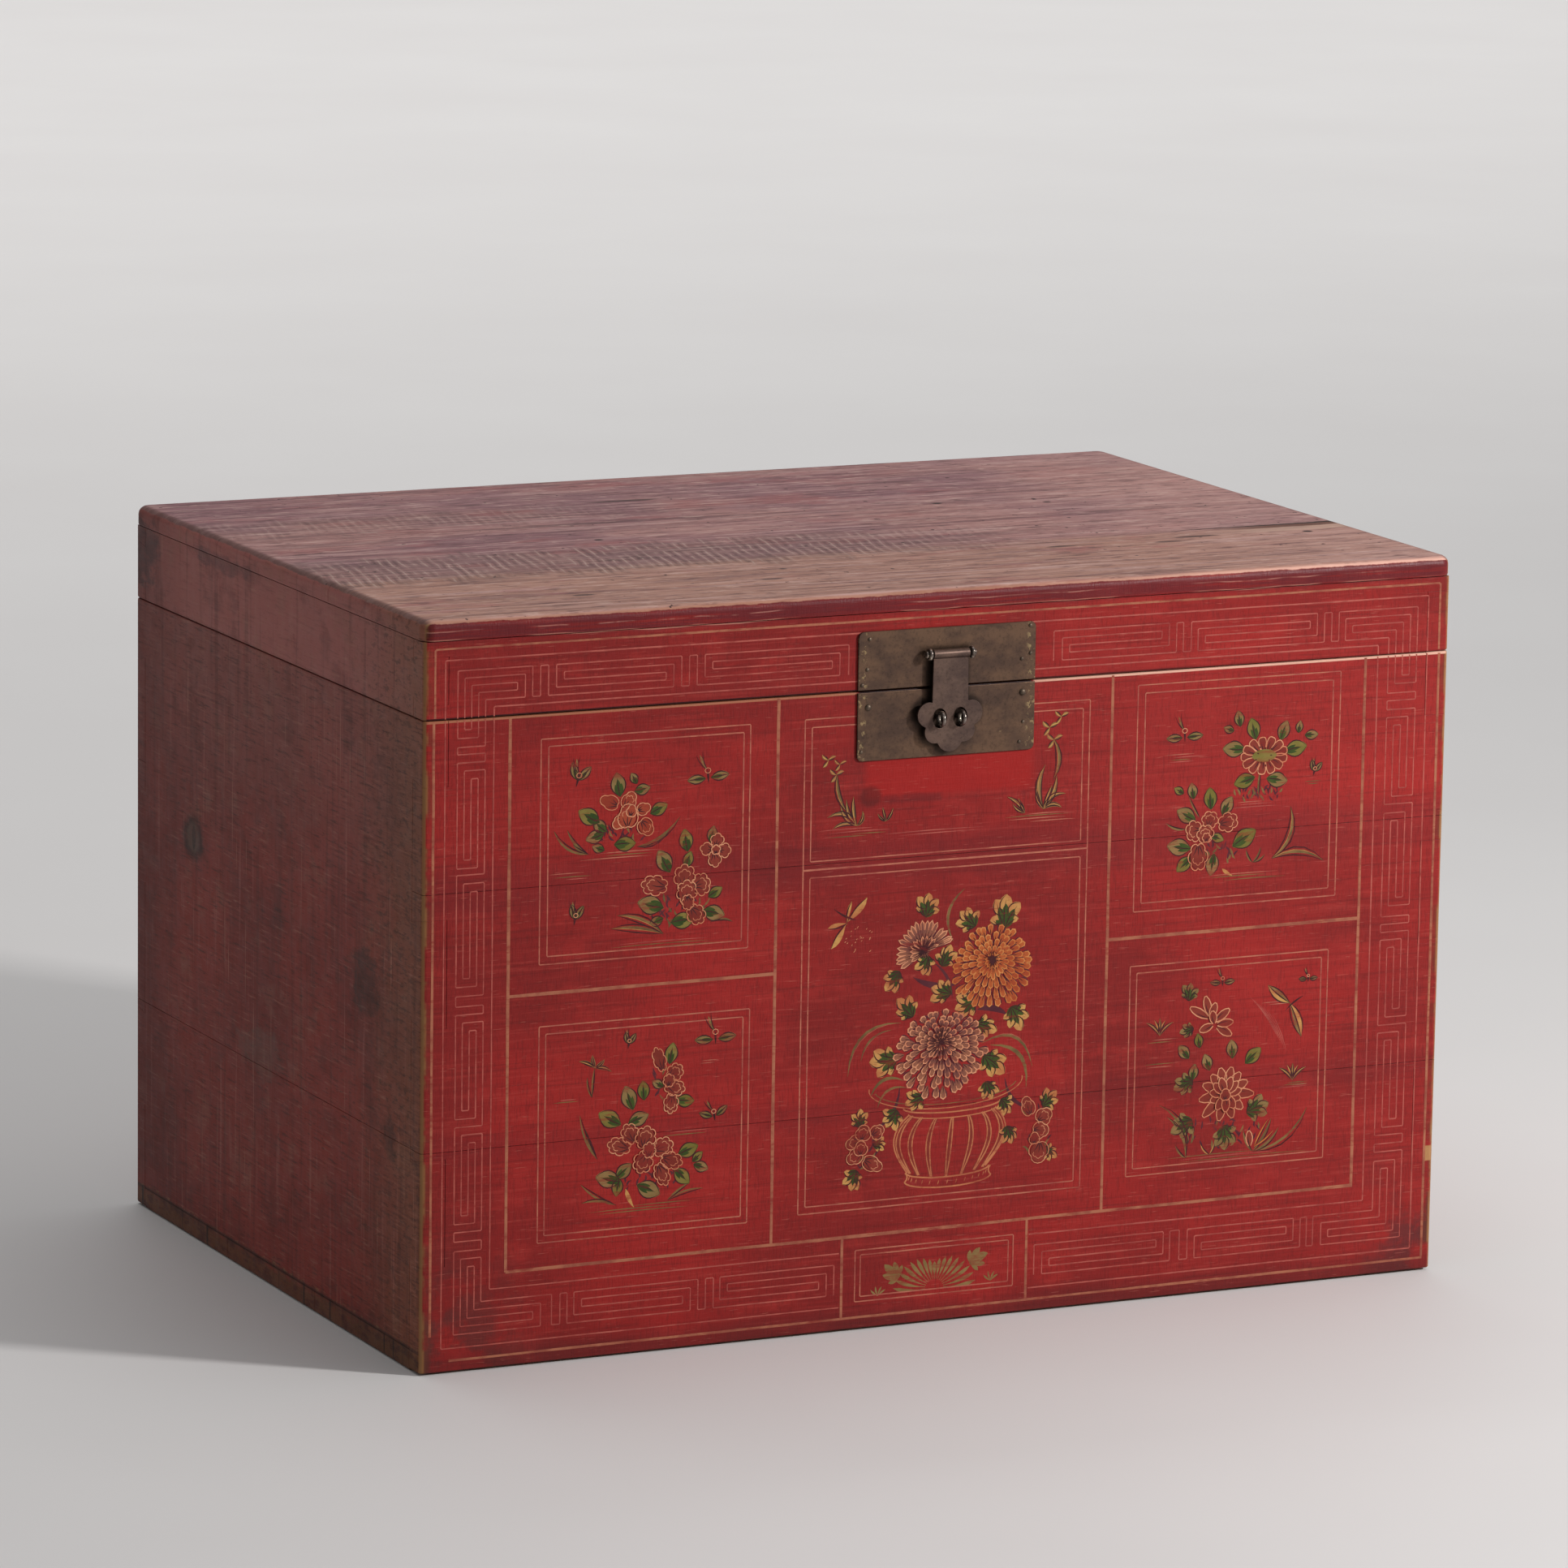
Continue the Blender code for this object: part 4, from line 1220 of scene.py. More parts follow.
@dataclass
class PaintedFront(Assembly):
    """The painted front: border lines, key fret, flower panels and the flower bowl."""

    seam: float = 504.5
    seam_room: float = 0.9
    layer: float = 0.08
    pen: float = 1.5
    panel: str = field(default="", init=False)
    strokes: dict[tuple[str, Body], dict[Paint, list]] = field(default_factory=dict, init=False)
    hand: random.Random = field(default_factory=lambda: random.Random(11), init=False)

    def stroke(
        self, paint: Paint, track: Track, width: float | Row, body: Body = Body.BASE, rise: float = 0.0
    ) -> None:
        """Notes one brush stroke.

        Args:
            paint: the paint.
            track: its points in millimetres.
            width: its width, or the width at each point.
            body: the body that it is painted on.
            rise: extra height over the paint's own.
        """
        widths = [width] * len(track) if isinstance(width, (int, float)) else list(width)
        self.strokes.setdefault((self.panel, body), {}).setdefault(paint, []).append((track, widths, rise))

    def ruled(self, paint: Paint, corners: Track, width: float) -> None:
        """Draws a straight-sided line by hand, split where it crosses the seam of the lid.

        Args:
            paint: the paint.
            corners: its corners.
            width: its width.
        """
        step, shake = 34.0, 0.12
        track: Track = [corners[0]]
        for i, (a, b) in enumerate(zip(corners, corners[1:])):
            run = math.dist(a, b)
            cut = min(width * 0.6, run * 0.3)
            way = ((b[0] - a[0]) / run, (b[1] - a[1]) / run)
            count = max(1, round(run / step))
            for k in range(1, count):
                at = run * k / count
                off = self.hand.uniform(-shake, shake)
                track.append((a[0] + way[0] * at - way[1] * off, a[1] + way[1] * at + way[0] * off))
            if i < len(corners) - 2:
                c = corners[i + 2]
                onto = math.dist(b, c)
                reach = min(width * 0.6, onto * 0.3)
                track.append((b[0] - way[0] * cut, b[1] - way[1] * cut))
                track.append((b[0] + (c[0] - b[0]) / onto * reach, b[1] + (c[1] - b[1]) / onto * reach))
            else:
                track.append(b)
        part: Track = [track[0]]
        for a, b in zip(track, track[1:]):
            if (a[1] < self.seam) != (b[1] < self.seam):
                up = 1.0 if b[1] > a[1] else -1.0
                self.part(paint, part + [(a[0], self.seam - up * self.seam_room)], width)
                part = [(b[0], self.seam + up * self.seam_room)]
            part.append(b)
        self.part(paint, part, width)

    def part(self, paint: Paint, track: Track, width: float) -> None:
        """Notes a line that lies wholly on the case or on the lid, with a slightly uneven width.

        Args:
            paint: the paint.
            track: its points.
            width: its width.
        """
        body = Body.LID if track[0][1] > self.seam else Body.BASE
        widths = [width * self.hand.uniform(0.88, 1.12) for _ in track]
        self.stroke(paint, track, widths, body)

    def box(self, paint: Paint, low: Point, high: Point, width: float) -> None:
        """Draws a rectangle as one line.

        Args:
            paint: the paint.
            low: its lower left corner.
            high: its upper right corner.
            width: the line's width.
        """
        middle = ((low[0] + high[0]) / 2, low[1])
        corners = [middle, (high[0], low[1]), high, (low[0], high[1]), low, middle]
        self.ruled(paint, corners, width)

    def blade(
        self, paint: Paint, foot: Point, tip: Point, width: float, bow: float = 0.0, swell: float = 0.5,
        count: int = 6, rise: float = 0.0, blunt: float = 0.75,
    ) -> None:
        """Draws a stroke that swells and ends in points, such as a leaf or a blade of grass.

        Args:
            paint: the paint.
            foot: where it starts.
            tip: where it ends.
            width: its greatest width.
            bow: how far it leans to the left, as a share of its length.
            swell: where along it the greatest width is.
            count: its number of points.
            rise: extra height over the paint's own.
            blunt: how slowly it swells; a small value gives round ends.
        """
        power = math.log(0.5) / math.log(swell)
        shares = [math.sin(math.pi * (i / (count - 1)) ** power) for i in range(count)]
        widths = [width * max(0.10, share**blunt) for share in shares]
        self.stroke(paint, bowed(foot, tip, bow, count), widths, rise=rise)

    def leaf(self, x: float, z: float, length: float, turn: float) -> None:
        """Draws a round leaf, dark green at its foot, pale at its edge and lined in ink.

        Args:
            x, z: its middle.
            length: its length.
            turn: where its tip points.
        """
        length *= 1.12
        wide = 0.70
        foot = onward((x, z), turn, -length / 2)
        tip = onward((x, z), turn, length / 2)
        pale = Paint.MOSS if self.hand.random() < 0.3 else Paint.OLIVE
        self.blade(pale, foot, tip, length * wide, 0, 0.52, 10, blunt=0.62)
        core = length * wide * (0.40 if self.panel.startswith("upper_left") else 0.26)
        for lean, share in ((-15, 0.54), (0, 0.72), (15, 0.54)):
            self.blade(Paint.GREEN, foot, onward(foot, turn + lean, length * share), core)
        for side in (-1, 1):
            self.blade(Paint.INK, foot, tip, self.pen * 0.75, 0.46 * wide * side, 0.45, 8)
        self.blade(Paint.INK, foot, onward(foot, turn, length * 0.80), self.pen * 0.7, 0.03, 0.4, 5)

    def spray(self, x: float, z: float, size: float, turn: float, fill: Paint = Paint.STRAW) -> None:
        """Draws a lobed leaf, dark green in its heart with pale round lobes lined in ink.

        Args:
            x, z: its heart.
            size: its reach.
            turn: where its middle lobe points.
            fill: the paint of its lobes.
        """
        heart = (x, z)
        root = onward(heart, turn, -size * 0.42)
        for lean, share in ((-88, 0.72), (-40, 0.92), (0, 1.0), (40, 0.92), (88, 0.72)):
            way = turn + lean + self.hand.uniform(-9, 9)
            reach = 1.08 * size * share * self.hand.uniform(0.86, 1.12)
            tip = onward(heart, way, reach)
            self.blade(fill, onward(heart, way, -reach * 0.1), tip, reach * 0.66, 0, 0.60, 9, blunt=0.45)
            inner = onward(heart, way, reach * 0.62)
            self.blade(Paint.GREEN, root, inner, reach * 0.38, 0, 0.58, 7, blunt=0.6)
            self.blade(Paint.INK, root, onward(heart, way, reach * 0.80), self.pen * 0.75, 0.05, 0.4, 5)
            self.blade(Paint.INK, onward(heart, way, reach * 0.15), tip, self.pen * 0.8, 0.33, 0.5)

    def petal(
        self, foot: Point, length: float, wide: float, turn: float, notches: int = 3,
        pointed: bool = False, step: int = 0,
    ) -> None:
        """Draws a petal from its foot, in outline with a thin wash.

        Args:
            foot: where it grows from.
            length: its length.
            wide: its width.
            turn: where its tip points.
            notches: the scallops along its edge.
            pointed: True for a petal that ends in a point.
            step: how many petals it lies over.
        """
        count = 9 if pointed else 6 + 4 * notches
        along, left = heading(turn), heading(turn + 90)
        track = []
        for i in range(count + 1):
            u = i / count
            arch = math.sin(math.pi * u)
            if pointed:
                reach = length * (1 - abs(2 * u - 1) ** 1.25)
                side = wide / 2 * math.cos(math.pi * u) * (0.25 + 1.05 * arch**0.8)
            else:
                scallop = 1 + 0.09 * math.cos(2 * math.pi * notches * u) * arch**2
                reach = length * arch**0.62 * scallop
                side = 0.66 * wide * math.cos(math.pi * u) * (0.35 + 0.65 * arch**0.4) * scallop
            x = foot[0] + along[0] * reach + left[0] * side
            z = foot[1] + along[1] * reach + left[1] * side
            track.append((x, z))
        line = 0.95
        widths = [line * self.hand.uniform(0.8, 1.15) for _ in track]
        lift = self.layer * step
        root, tip = onward(foot, turn, length * 0.02), onward(foot, turn, length * 0.97)
        vein = onward(foot, turn + 6, length * 0.62)
        self.blade(Paint.BLUSH, root, tip, wide * 0.95, 0, 0.55, 7, lift)
        self.stroke(Paint.PETAL, track, widths, rise=lift)
        self.blade(Paint.INK, foot, vein, self.pen * 0.7, 0.06, 0.35, 4, lift + 0.08)

    def lobe(
        self, petal: Row, step: int, notches: int, wash: Paint = Paint.BLUSH, line: float = 0.95
    ) -> None:
        """Draws a broad petal as a scalloped round that lies over the petals before it.

        Args:
            petal: its middle, its half length, its half width and where its tip points.
            step: how many petals it lies over.
            notches: the scallops round its edge.
            wash: the paint inside the outline.
            line: the outline's width.
        """
        x, z, long, short, turn = petal
        folded = 5.5
        track = scalloped(petal, 360, 1.0, notches, 6 * notches)
        lift = self.layer * step
        foot, tip = onward((x, z), turn, -long), onward((x, z), turn, long)
        self.blade(wash, foot, tip, 1.96 * short, 0, 0.5, 9, lift, 0.55)
        self.stroke(Paint.PETAL, track, [line * self.hand.uniform(0.75, 1.15) for _ in track], rise=lift)
        if min(long, short) > folded:
            self.stroke(Paint.PETAL, scalloped(petal, 170, 0.58, 3, 15), line * 0.62, rise=lift)
        for lean in (-26, 0, 26):
            end = onward(foot, turn + lean, long * self.hand.uniform(0.9, 1.3))
            self.blade(Paint.INK, foot, end, self.pen * 0.75, 0.05, 0.35, 4, lift + 0.08)

    def flower(
        self, petals: Sequence[Row], notches: int, wash: Paint = Paint.BLUSH, line: float = 0.95
    ) -> None:
        """Draws a flower of broad petals, each over the ones before it.

        Args:
            petals: its petals, as lobe takes them.
            notches: the scallops round each petal.
            wash: the paint inside the outlines.
            line: the outlines' width.
        """
        for step, petal in enumerate(petals):
            self.lobe(petal, step, notches, wash, line)

    def hatch(self, x: float, z: float, wide: float, tall: float, count: int) -> None:
        """Darkens the lacquer round the foot of a flower with short strokes.

        Args:
            x, z: their middle.
            wide: how far they spread to either side.
            tall: how far they spread up and down.
            count: how many there are.
        """
        for _ in range(count):
            way = heading(self.hand.uniform(0, 360))
            far = math.sqrt(self.hand.random())
            foot = (x + way[0] * wide * far, z + way[1] * tall * far)
            tip = onward(foot, self.hand.uniform(40, 140), self.hand.uniform(4.0, 8.0))
            paint = Paint.PLUM if self.hand.random() < 0.7 else Paint.EARTH
            self.blade(paint, foot, tip, 2.0, self.hand.uniform(-0.2, 0.2), 0.4, 4)

    def mum(
        self, centre: Point, size: Point, drop: float, rows: int, paints: tuple[Paint, Paint], heart: float,
        fan: Point = (0.0, 360.0),
    ) -> None:
        """Draws a chrysanthemum of many round petals in rings, each edged with a lighter line.

        Args:
            centre: its centre.
            size: its half width and half height.
            drop: how far the outermost ring hangs down.
            rows: the number of rings.
            paints: the paints of the petals and of their edges.
            heart: how far the dark lines reach out from its centre, as a share of its size.
            fan: the turns between which it has petals.
        """
        small, ring, lines = min(size), 0.15, 24
        part = (fan[1] - fan[0]) / 360
        for row in range(rows, 0, -1):
            share = row / rows
            count = round((8 + 22 * share) * part)
            lift = ring * (rows - row)
            for k in range(count):
                way = heading(fan[0] + 360 * part * (k + 0.5 * (row % 2)) / count + self.hand.uniform(-4, 4))
                outer = share * self.hand.uniform(0.93, 1.06)
                stops = []
                for past in (-1.45, -0.62, -0.2, 0.0, 0.06):
                    reach = outer + past / rows
                    level = centre[1] + way[1] * size[1] * reach - drop * max(reach, 0.0)
                    stops.append((centre[0] + way[0] * size[0] * reach, level))
                foot, near, high, tip, rim = stops
                wide = 2 * math.pi * share * small * part / count
                self.blade(Paint.PLUM, foot, rim, wide * 1.16, 0, 0.66, 7, lift + 0.10, 0.5)
                self.blade(paints[0], foot, tip, wide * 0.86, 0, 0.66, 7, lift, 0.5)
                self.blade(Paint.INK, foot, near, self.pen * 0.6, 0.05, 0.4, 4, lift + 0.06)
                aside = heading(math.degrees(math.atan2(tip[1] - foot[1], tip[0] - foot[0])) + 90)
                edge = []
                for stop, lean in ((near, 0.29), (high, 0.31), (tip, 0.0), (high, -0.31), (near, -0.29)):
                    edge.append((stop[0] + aside[0] * wide * lean, stop[1] + aside[1] * wide * lean))
                self.stroke(paints[1], edge, [0.5, 1.1, 1.5, 1.1, 0.5], rise=lift - 0.02)
        for k in range(lines):
            way = fan[0] + 360 * part * k / lines + self.hand.uniform(-5, 5)
            tip = onward(centre, way, small * heart * self.hand.uniform(0.5, 1.2))
            self.blade(Paint.INK, centre, tip, self.pen * 0.6, 0.05, 0.4, 4, ring * rows + 0.2)

    def insect(self, x: float, z: float, size: float, turn: float, spread: float = 38.0) -> None:
        """Draws a small insect with two folded or spread wings.

        Args:
            x, z: its middle.
            size: a wing's length.
            turn: where its head points.
            spread: how far each wing is turned away from that.
        """
        middle = (x, z)
        size *= 1.25
        for lean in (-spread, spread):
            way = turn + lean
            foot, tip = onward(middle, way, size * 0.12), onward(middle, way, size)
            self.blade(Paint.OLIVE, foot, tip, size * 0.50, 0, 0.56, 8)
            self.blade(Paint.GREEN, foot, onward(foot, way, size * 0.6), size * 0.2, 0, 0.5, 5)
            for bow in (-0.23, 0.0, 0.23):
                self.blade(Paint.INK, foot, tip, self.pen * 0.8, bow, 0.45)
        head = onward(middle, turn, size * 0.34)
        self.blade(Paint.INK, onward(middle, turn + 180, size * 0.22), head, 2.0, 0, 0.6)
        self.stroke(Paint.PETAL, oval(head, size * 0.14, size * 0.12, 0, 360, 9), 0.7)
        self.blade(Paint.OLIVE, head, onward(head, turn + 24, size * 0.8), size * 0.15, 0.04, 0.6, 5)
        for lean in (12, 34):
            self.blade(Paint.INK, head, onward(head, turn + lean, size * 0.9), self.pen * 0.7, 0.08, 0.3, 4)

    def ground(self, x: float, z: float, wide: float, count: int) -> None:
        """Draws a few faint level strokes for the ground.

        Args:
            x: their middle.
            z: the highest one.
            wide: their greatest length.
            count: how many there are.
        """
        for k in range(count):
            half = wide * self.hand.uniform(0.25, 0.5)
            middle = x + wide * self.hand.uniform(-0.18, 0.18)
            level = z - 2.1 * k + self.hand.uniform(-0.4, 0.4)
            paint = self.hand.choice((Paint.FRET, Paint.ROSE, Paint.EARTH))
            self.blade(paint, (middle - half, level), (middle + half, level), 0.9, 0.006, 0.5, 5)

    def tuft(self, foot: Point, tips: Sequence[Row], width: float, paint: Paint = Paint.EARTH) -> None:
        """Draws blades of grass from one foot.

        Args:
            foot: where they grow.
            tips: each blade's tip and its bow.
            width: their width.
            paint: the paint.
        """
        broad = 2.5
        for x, z, bow in tips:
            self.blade(paint, foot, (x, z), width, bow, 0.45, 7)
            self.blade(Paint.INK, foot, (x, z), self.pen * 0.8, bow - 0.06, 0.4, 6)
            if width > broad:
                self.blade(Paint.INK, foot, (x, z), self.pen * 0.8, bow + 0.08, 0.4, 6)
                self.blade(Paint.STRAW, foot, (x, z), width * 0.20, bow + 0.03, 0.5, 6, 0.10)

    def each(self, draw: Callable[..., None], *rows: Row) -> None:
        """Draws one thing after another with the same method, each from a row of its measures."""
        for row in rows:
            draw(*row)

    def borders(self) -> None:
        """Draws the border lines, the panels' lines and frames."""
        thick, thin = 2.9, 1.15
        left, right, foot, head = 70.5, 805.0, 75.0, 503.4
        for x in (left, 293.5, 580.5, right):
            self.ruled(Paint.TAN, [(x, head), (x, foot)], thick)
        for corners, width in (
            ([(left, foot), (440.0, foot + 0.6), (right, foot + 1.4)], thick),
            ([(left, 289.0), (293.5, 289.3)], thick),
            ([(580.5, 293.6), (right, 294.0)], thick),
            ([(354.5, foot), (354.5, 10.6)], 2.4),
            ([(515.0, foot), (515.0, 10.6)], 2.4),
            ([(24.0, 10.2), (440.0, 10.6), (872.0, 11.0)], 2.2),
            ([(8.3, 30.0), (8.3, head)], 2.4),
            ([(871.4, 12.0), (871.4, head)], 2.4),
            ([(9.2, 506.4), (9.2, 558.6), (871.0, 559.4), (871.0, 506.4)], 1.9),
        ):
            self.ruled(Paint.TAN, corners, width)
        for low, high in (
            ((96.0, 311.6), (270.0, 485.1)), ((102.3, 317.6), (264.5, 479.2)),
            ((96.5, 95.1), (272.5, 263.6)), ((102.0, 100.6), (267.0, 257.6)),
            ((603.0, 314.1), (783.0, 494.1)), ((609.5, 320.6), (776.5, 487.6)),
            ((601.5, 101.6), (778.5, 270.6)), ((607.5, 107.4), (772.5, 264.8)),
            ((316.0, 97.1), (561.0, 485.6)), ((322.0, 102.6), (555.0, 361.8)),
            ((322.0, 374.6), (555.0, 479.2)), ((366.0, 23.1), (503.5, 64.1)),
            ((370.6, 27.0), (499.2, 60.2)),
        ):
            self.box(Paint.ROSE, low, high, thin)
        self.ruled(Paint.ROSE, [(316.0, 368.0), (561.0, 368.2)], 1.6)
        outer = [(352.0, 19.8), (17.5, 19.8), (17.5, 549.8), (860.5, 549.8), (860.5, 19.8), (517.0, 19.8)]
        inner = [(352.0, 63.0), (57.2, 63.0), (57.2, 512.6), (816.0, 512.6), (816.0, 63.0), (517.0, 63.0)]
        for corners in (outer, inner):
            self.ruled(Paint.FRET, corners, thin)

    def frets(self) -> None:
        """Draws the two halves of the key fret."""
        unit, bars = "EX", "BBB"
        bottom = "B" + unit + bars + unit + bars + "E"
        climb = "X" + bars + unit + "B" + unit + bars + unit + "B" + unit + bars + "E"
        top = "X" + bars + unit + bars + unit + "B"
        foot_left = (347.9, 341.4, 250.5, 245, 238.3, 231.9, 225.5, 127.6, 121.9, 116, 109, 99.8)
        side_left = (
            88.7, 94.9, 102.3, 109.6, 115.9, 185, 191.2, 197.5, 271.8, 278, 284.4, 292.3, 299.4, 378.7,
            385.4, 390.5, 465.1, 471.3, 477.6, 483.2, 490,
        )
        head_left = (82.5, 88.5, 95, 101.5, 108, 205, 211.5, 218, 224.5, 231, 344.5, 352)
        foot_right = (522, 529, 636.5, 642.4, 650.8, 658, 664.4, 753.5, 759.8, 765.5, 771.3, 778.7)
        side_right = (
            94, 101.4, 108, 115, 121.3, 198.8, 205.1, 211.4, 274.3, 280.6, 287, 293.2, 301.8, 377,
            384.1, 390.3, 454, 460.3, 467.5, 473.6, 481,
        )
        head_right = (786, 780, 773.5, 767, 760.5, 654.5, 648.5, 641.5, 635.5, 629, 535.5, 528)
        for runs in (
            ((Leg.BOTTOM, bottom, foot_left), (Leg.LEFT, climb, side_left), (Leg.TOP, top, head_left)),
            ((Leg.BOTTOM, bottom, foot_right), (Leg.RIGHT, climb, side_right), (Leg.TOP, top, head_right)),
        ):
            self.ruled(Paint.FRET, Fret(runs).track(), 1.0)

    def upper_left(self) -> None:
        """Paints the two peonies in the upper left panel."""
        upper = (
            (153, 433, 7.8, 5.4, 158), (169, 433, 6.8, 6.0, 58), (181, 426, 5.5, 4.6, 15),
            (183, 412, 7.1, 6.2, -49), (161, 417, 5.6, 5.0, 215), (168, 421, 9.0, 8.0, 91),
            (171, 425, 4.6, 4.0, 80),
        )
        lower = (
            (191, 366, 10.4, 7.4, 171), (216, 371, 9.0, 8.4, 91), (230, 364, 7.2, 8.3, 15),
            (226, 341, 8.1, 7.0, -49), (218, 359, 8.6, 8.0, 91), (219, 351, 5.6, 4.8, -79),
        )
        small = (
            (235, 391, 5.8, 4.7, 167), (243, 397, 5.3, 5.3, 80), (249, 389, 5.2, 5.3, -4),
            (241, 383, 6.0, 5.1, -79), (242, 390, 3.5, 3.5, 91),
        )
        self.each(self.hatch, (163, 408, 26, 9, 34), (213, 343, 26, 12, 40))
        self.each(self.flower, (upper, 3, Paint.FLAME), (lower, 7), (small, 5))
        self.each(
            self.leaf,
            (160, 446, 17, 100), (180, 441, 12, 10), (173, 450, 9, 120), (136, 423, 18, 150),
            (145, 415, 13, 140), (141, 407, 14, 195), (194, 425, 14, 25), (166, 400, 16, 0),
            (144, 398, 10, 160), (199, 384, 18, 120), (217, 399, 16, 100), (219, 384, 12, 70),
            (188, 351, 20, 165), (193, 338, 11, 200), (215, 337, 18, 5), (241, 341, 17, -15),
            (242, 357, 12, 30), (239, 402, 12, 80),
        )
        self.each(
            self.tuft,
            ((136, 394), ((118, 414, 0.10), (107, 414, 0.16), (123, 402, 0.06)), 2.2),
            ((176, 397), ((212, 418, -0.10), (203, 408, -0.12)), 1.8),
            ((199, 328), ((155, 335, -0.06), (160, 345, -0.10)), 2.6),
            ((238, 334), ((257, 333, 0.14),), 2.0),
        )
        self.each(self.ground, (124, 380, 36, 3), (160, 394, 60, 3), (205, 322, 90, 3), (228, 362, 30, 2))
        self.each(self.insect, (126, 450, 13, 75, 30), (235, 446, 14, 95, 88), (125, 343, 11, 80, 22))

    def lower_left(self) -> None:
        """Paints the peony and the blossoming branch in the lower left panel."""
        peony = (
            (164, 165, 9.3, 6.6, 166), (173, 174, 8.0, 6.8, 121), (201, 161, 7.9, 7.6, 19),
            (208, 150, 8.9, 6.3, -19), (200, 140, 9.1, 5.8, -64), (186, 170, 8.4, 8.2, 80),
            (184, 151, 8.2, 7.8, -111), (189, 160, 5.9, 5.2, 91),
        )
        branch = (
            (197, 230, 9.5, 4.9, 111), (210, 219, 6.9, 6.4, 41), (207, 195, 7.5, 5.8, -95),
            (210, 207, 8.2, 6.0, -14), (205, 213, 4.8, 4.6, 91),
        )
        lily = ((130, 234, -0.08), (157, 224, 0.1), (141, 238, 0.05), (151, 234, -0.1))
        self.each(self.hatch, (184, 136, 34, 10, 44), (203, 205, 14, 16, 16))
        self.each(self.flower, (peony, 7), (branch, 7))
        self.each(
            self.leaf,
            (207, 234, 15, 80), (196, 211, 10, 150), (219, 196, 14, -5), (172, 202, 18, 110),
            (184, 207, 14, 95), (156, 187, 19, 150), (180, 185, 16, 20), (222, 157, 16, 20),
            (233, 143, 12, -20), (217, 137, 16, -45), (189, 129, 19, -25), (155, 140, 19, 165),
            (168, 145, 15, 40), (163, 133, 13, -100), (230, 151, 10, 40),
        )
        self.each(
            self.tuft,
            ((143, 228), lily, 4.0, Paint.OLIVE),
            ((141, 205), ((143, 228, 0.04), (137, 221, 0.1)), 1.4),
            ((146, 156), ((131, 192, 0.08), (136, 180, 0.05)), 2.0),
            ((162, 119), ((132, 138, 0.08), (133, 123, -0.08)), 2.0),
            ((205, 119), ((235, 126, 0.08), (223, 131, 0.05)), 1.8),
        )
        self.blade(Paint.STRAW, (177, 116), (170, 131), 4.2, 0.05, 0.6)
        self.each(self.ground, (186, 117, 96, 3), (225, 172, 40, 2), (120, 205, 22, 2), (238, 226, 20, 2))
        self.each(self.insect, (171, 243, 9, 80, 24), (244, 242, 14, 92, 86), (244, 181, 11, 100, 62))

    def upper_right(self) -> None:
        """Paints the daisy and the peony in the upper right panel."""
        heart, petals, dots = (716, 431), 13, 9
        for k in range(petals):
            way = heading(360 * (k + 0.5) / petals)
            foot = (heart[0] + way[0] * 8, heart[1] + way[1] * 4.5)
            turn = math.degrees(math.atan2(way[1] * 0.8, way[0]))
            self.petal(foot, 11 + 3 * abs(way[0]), 7.0, turn, 1, step=k % 2)
        self.blade(Paint.MOSS, (705, 431), (727, 431), 12, 0, 0.5, 10, 0.4, 0.5)
        for k in range(dots):
            turn = 360 * k / dots
            dot = onward(heart, turn, 5.0 + 2.0 * (k % 2))
            self.blade(Paint.INK, dot, onward(dot, turn, 2.0), self.pen * 0.8, 0, 0.5, 4, 0.4)
        peony = (
            (669, 383, 6.4, 6.8, 80), (685, 380, 8.3, 7.2, 10), (655, 375, 6.8, 8.0, 194),
            (659, 354, 10.4, 8.0, -88), (665, 372, 6.8, 7.0, 92), (666, 369, 3.6, 3.4, 92),
        )
        self.each(self.hatch, (672, 352, 22, 12, 34), (712, 399, 22, 6, 30))
        self.flower(peony, 6)
        self.each(
            self.leaf,
            (706, 453, 16, 105), (733, 450, 15, 70), (689, 438, 18, 175), (744, 435, 18, 10),
            (699, 412, 17, 195), (728, 411, 17, -10), (693, 462, 12, 100), (684, 454, 9, 160),
            (747, 452, 9, 80), (758, 445, 11, 0), (648, 388, 17, 150), (669, 400, 16, 95),
            (684, 393, 15, 60), (642, 363, 19, 170), (647, 349, 15, 220), (672, 347, 16, -100),
            (700, 366, 21, 30), (676, 368, 11, -20), (653, 407, 12, 100), (641, 408, 9, 150),
        )
        self.each(
            self.tuft,
            ((712, 399), ((713, 420, 0.05),), 1.6),
            ((660, 385), ((650, 403, 0.05),), 1.2),
            ((725, 348), ((741, 389, -0.20), (772, 343, 0.14)), 2.6),
            ((708, 346), ((715, 358, -0.1), (702, 357, 0.1), (719, 352, -0.1)), 2.0),
            ((648, 377), ((630, 383, 0.12),), 2.0),
        )
        self.blade(Paint.STRAW, (690, 337), (681, 343), 3.4, 0.05, 0.6)
        self.each(self.ground, (646, 437, 34, 4), (712, 395, 44, 3), (702, 338, 84, 3), (762, 408, 18, 2))
        self.each(self.insect, (645, 450, 13, 92, 88), (761, 414, 9, 75, 26))

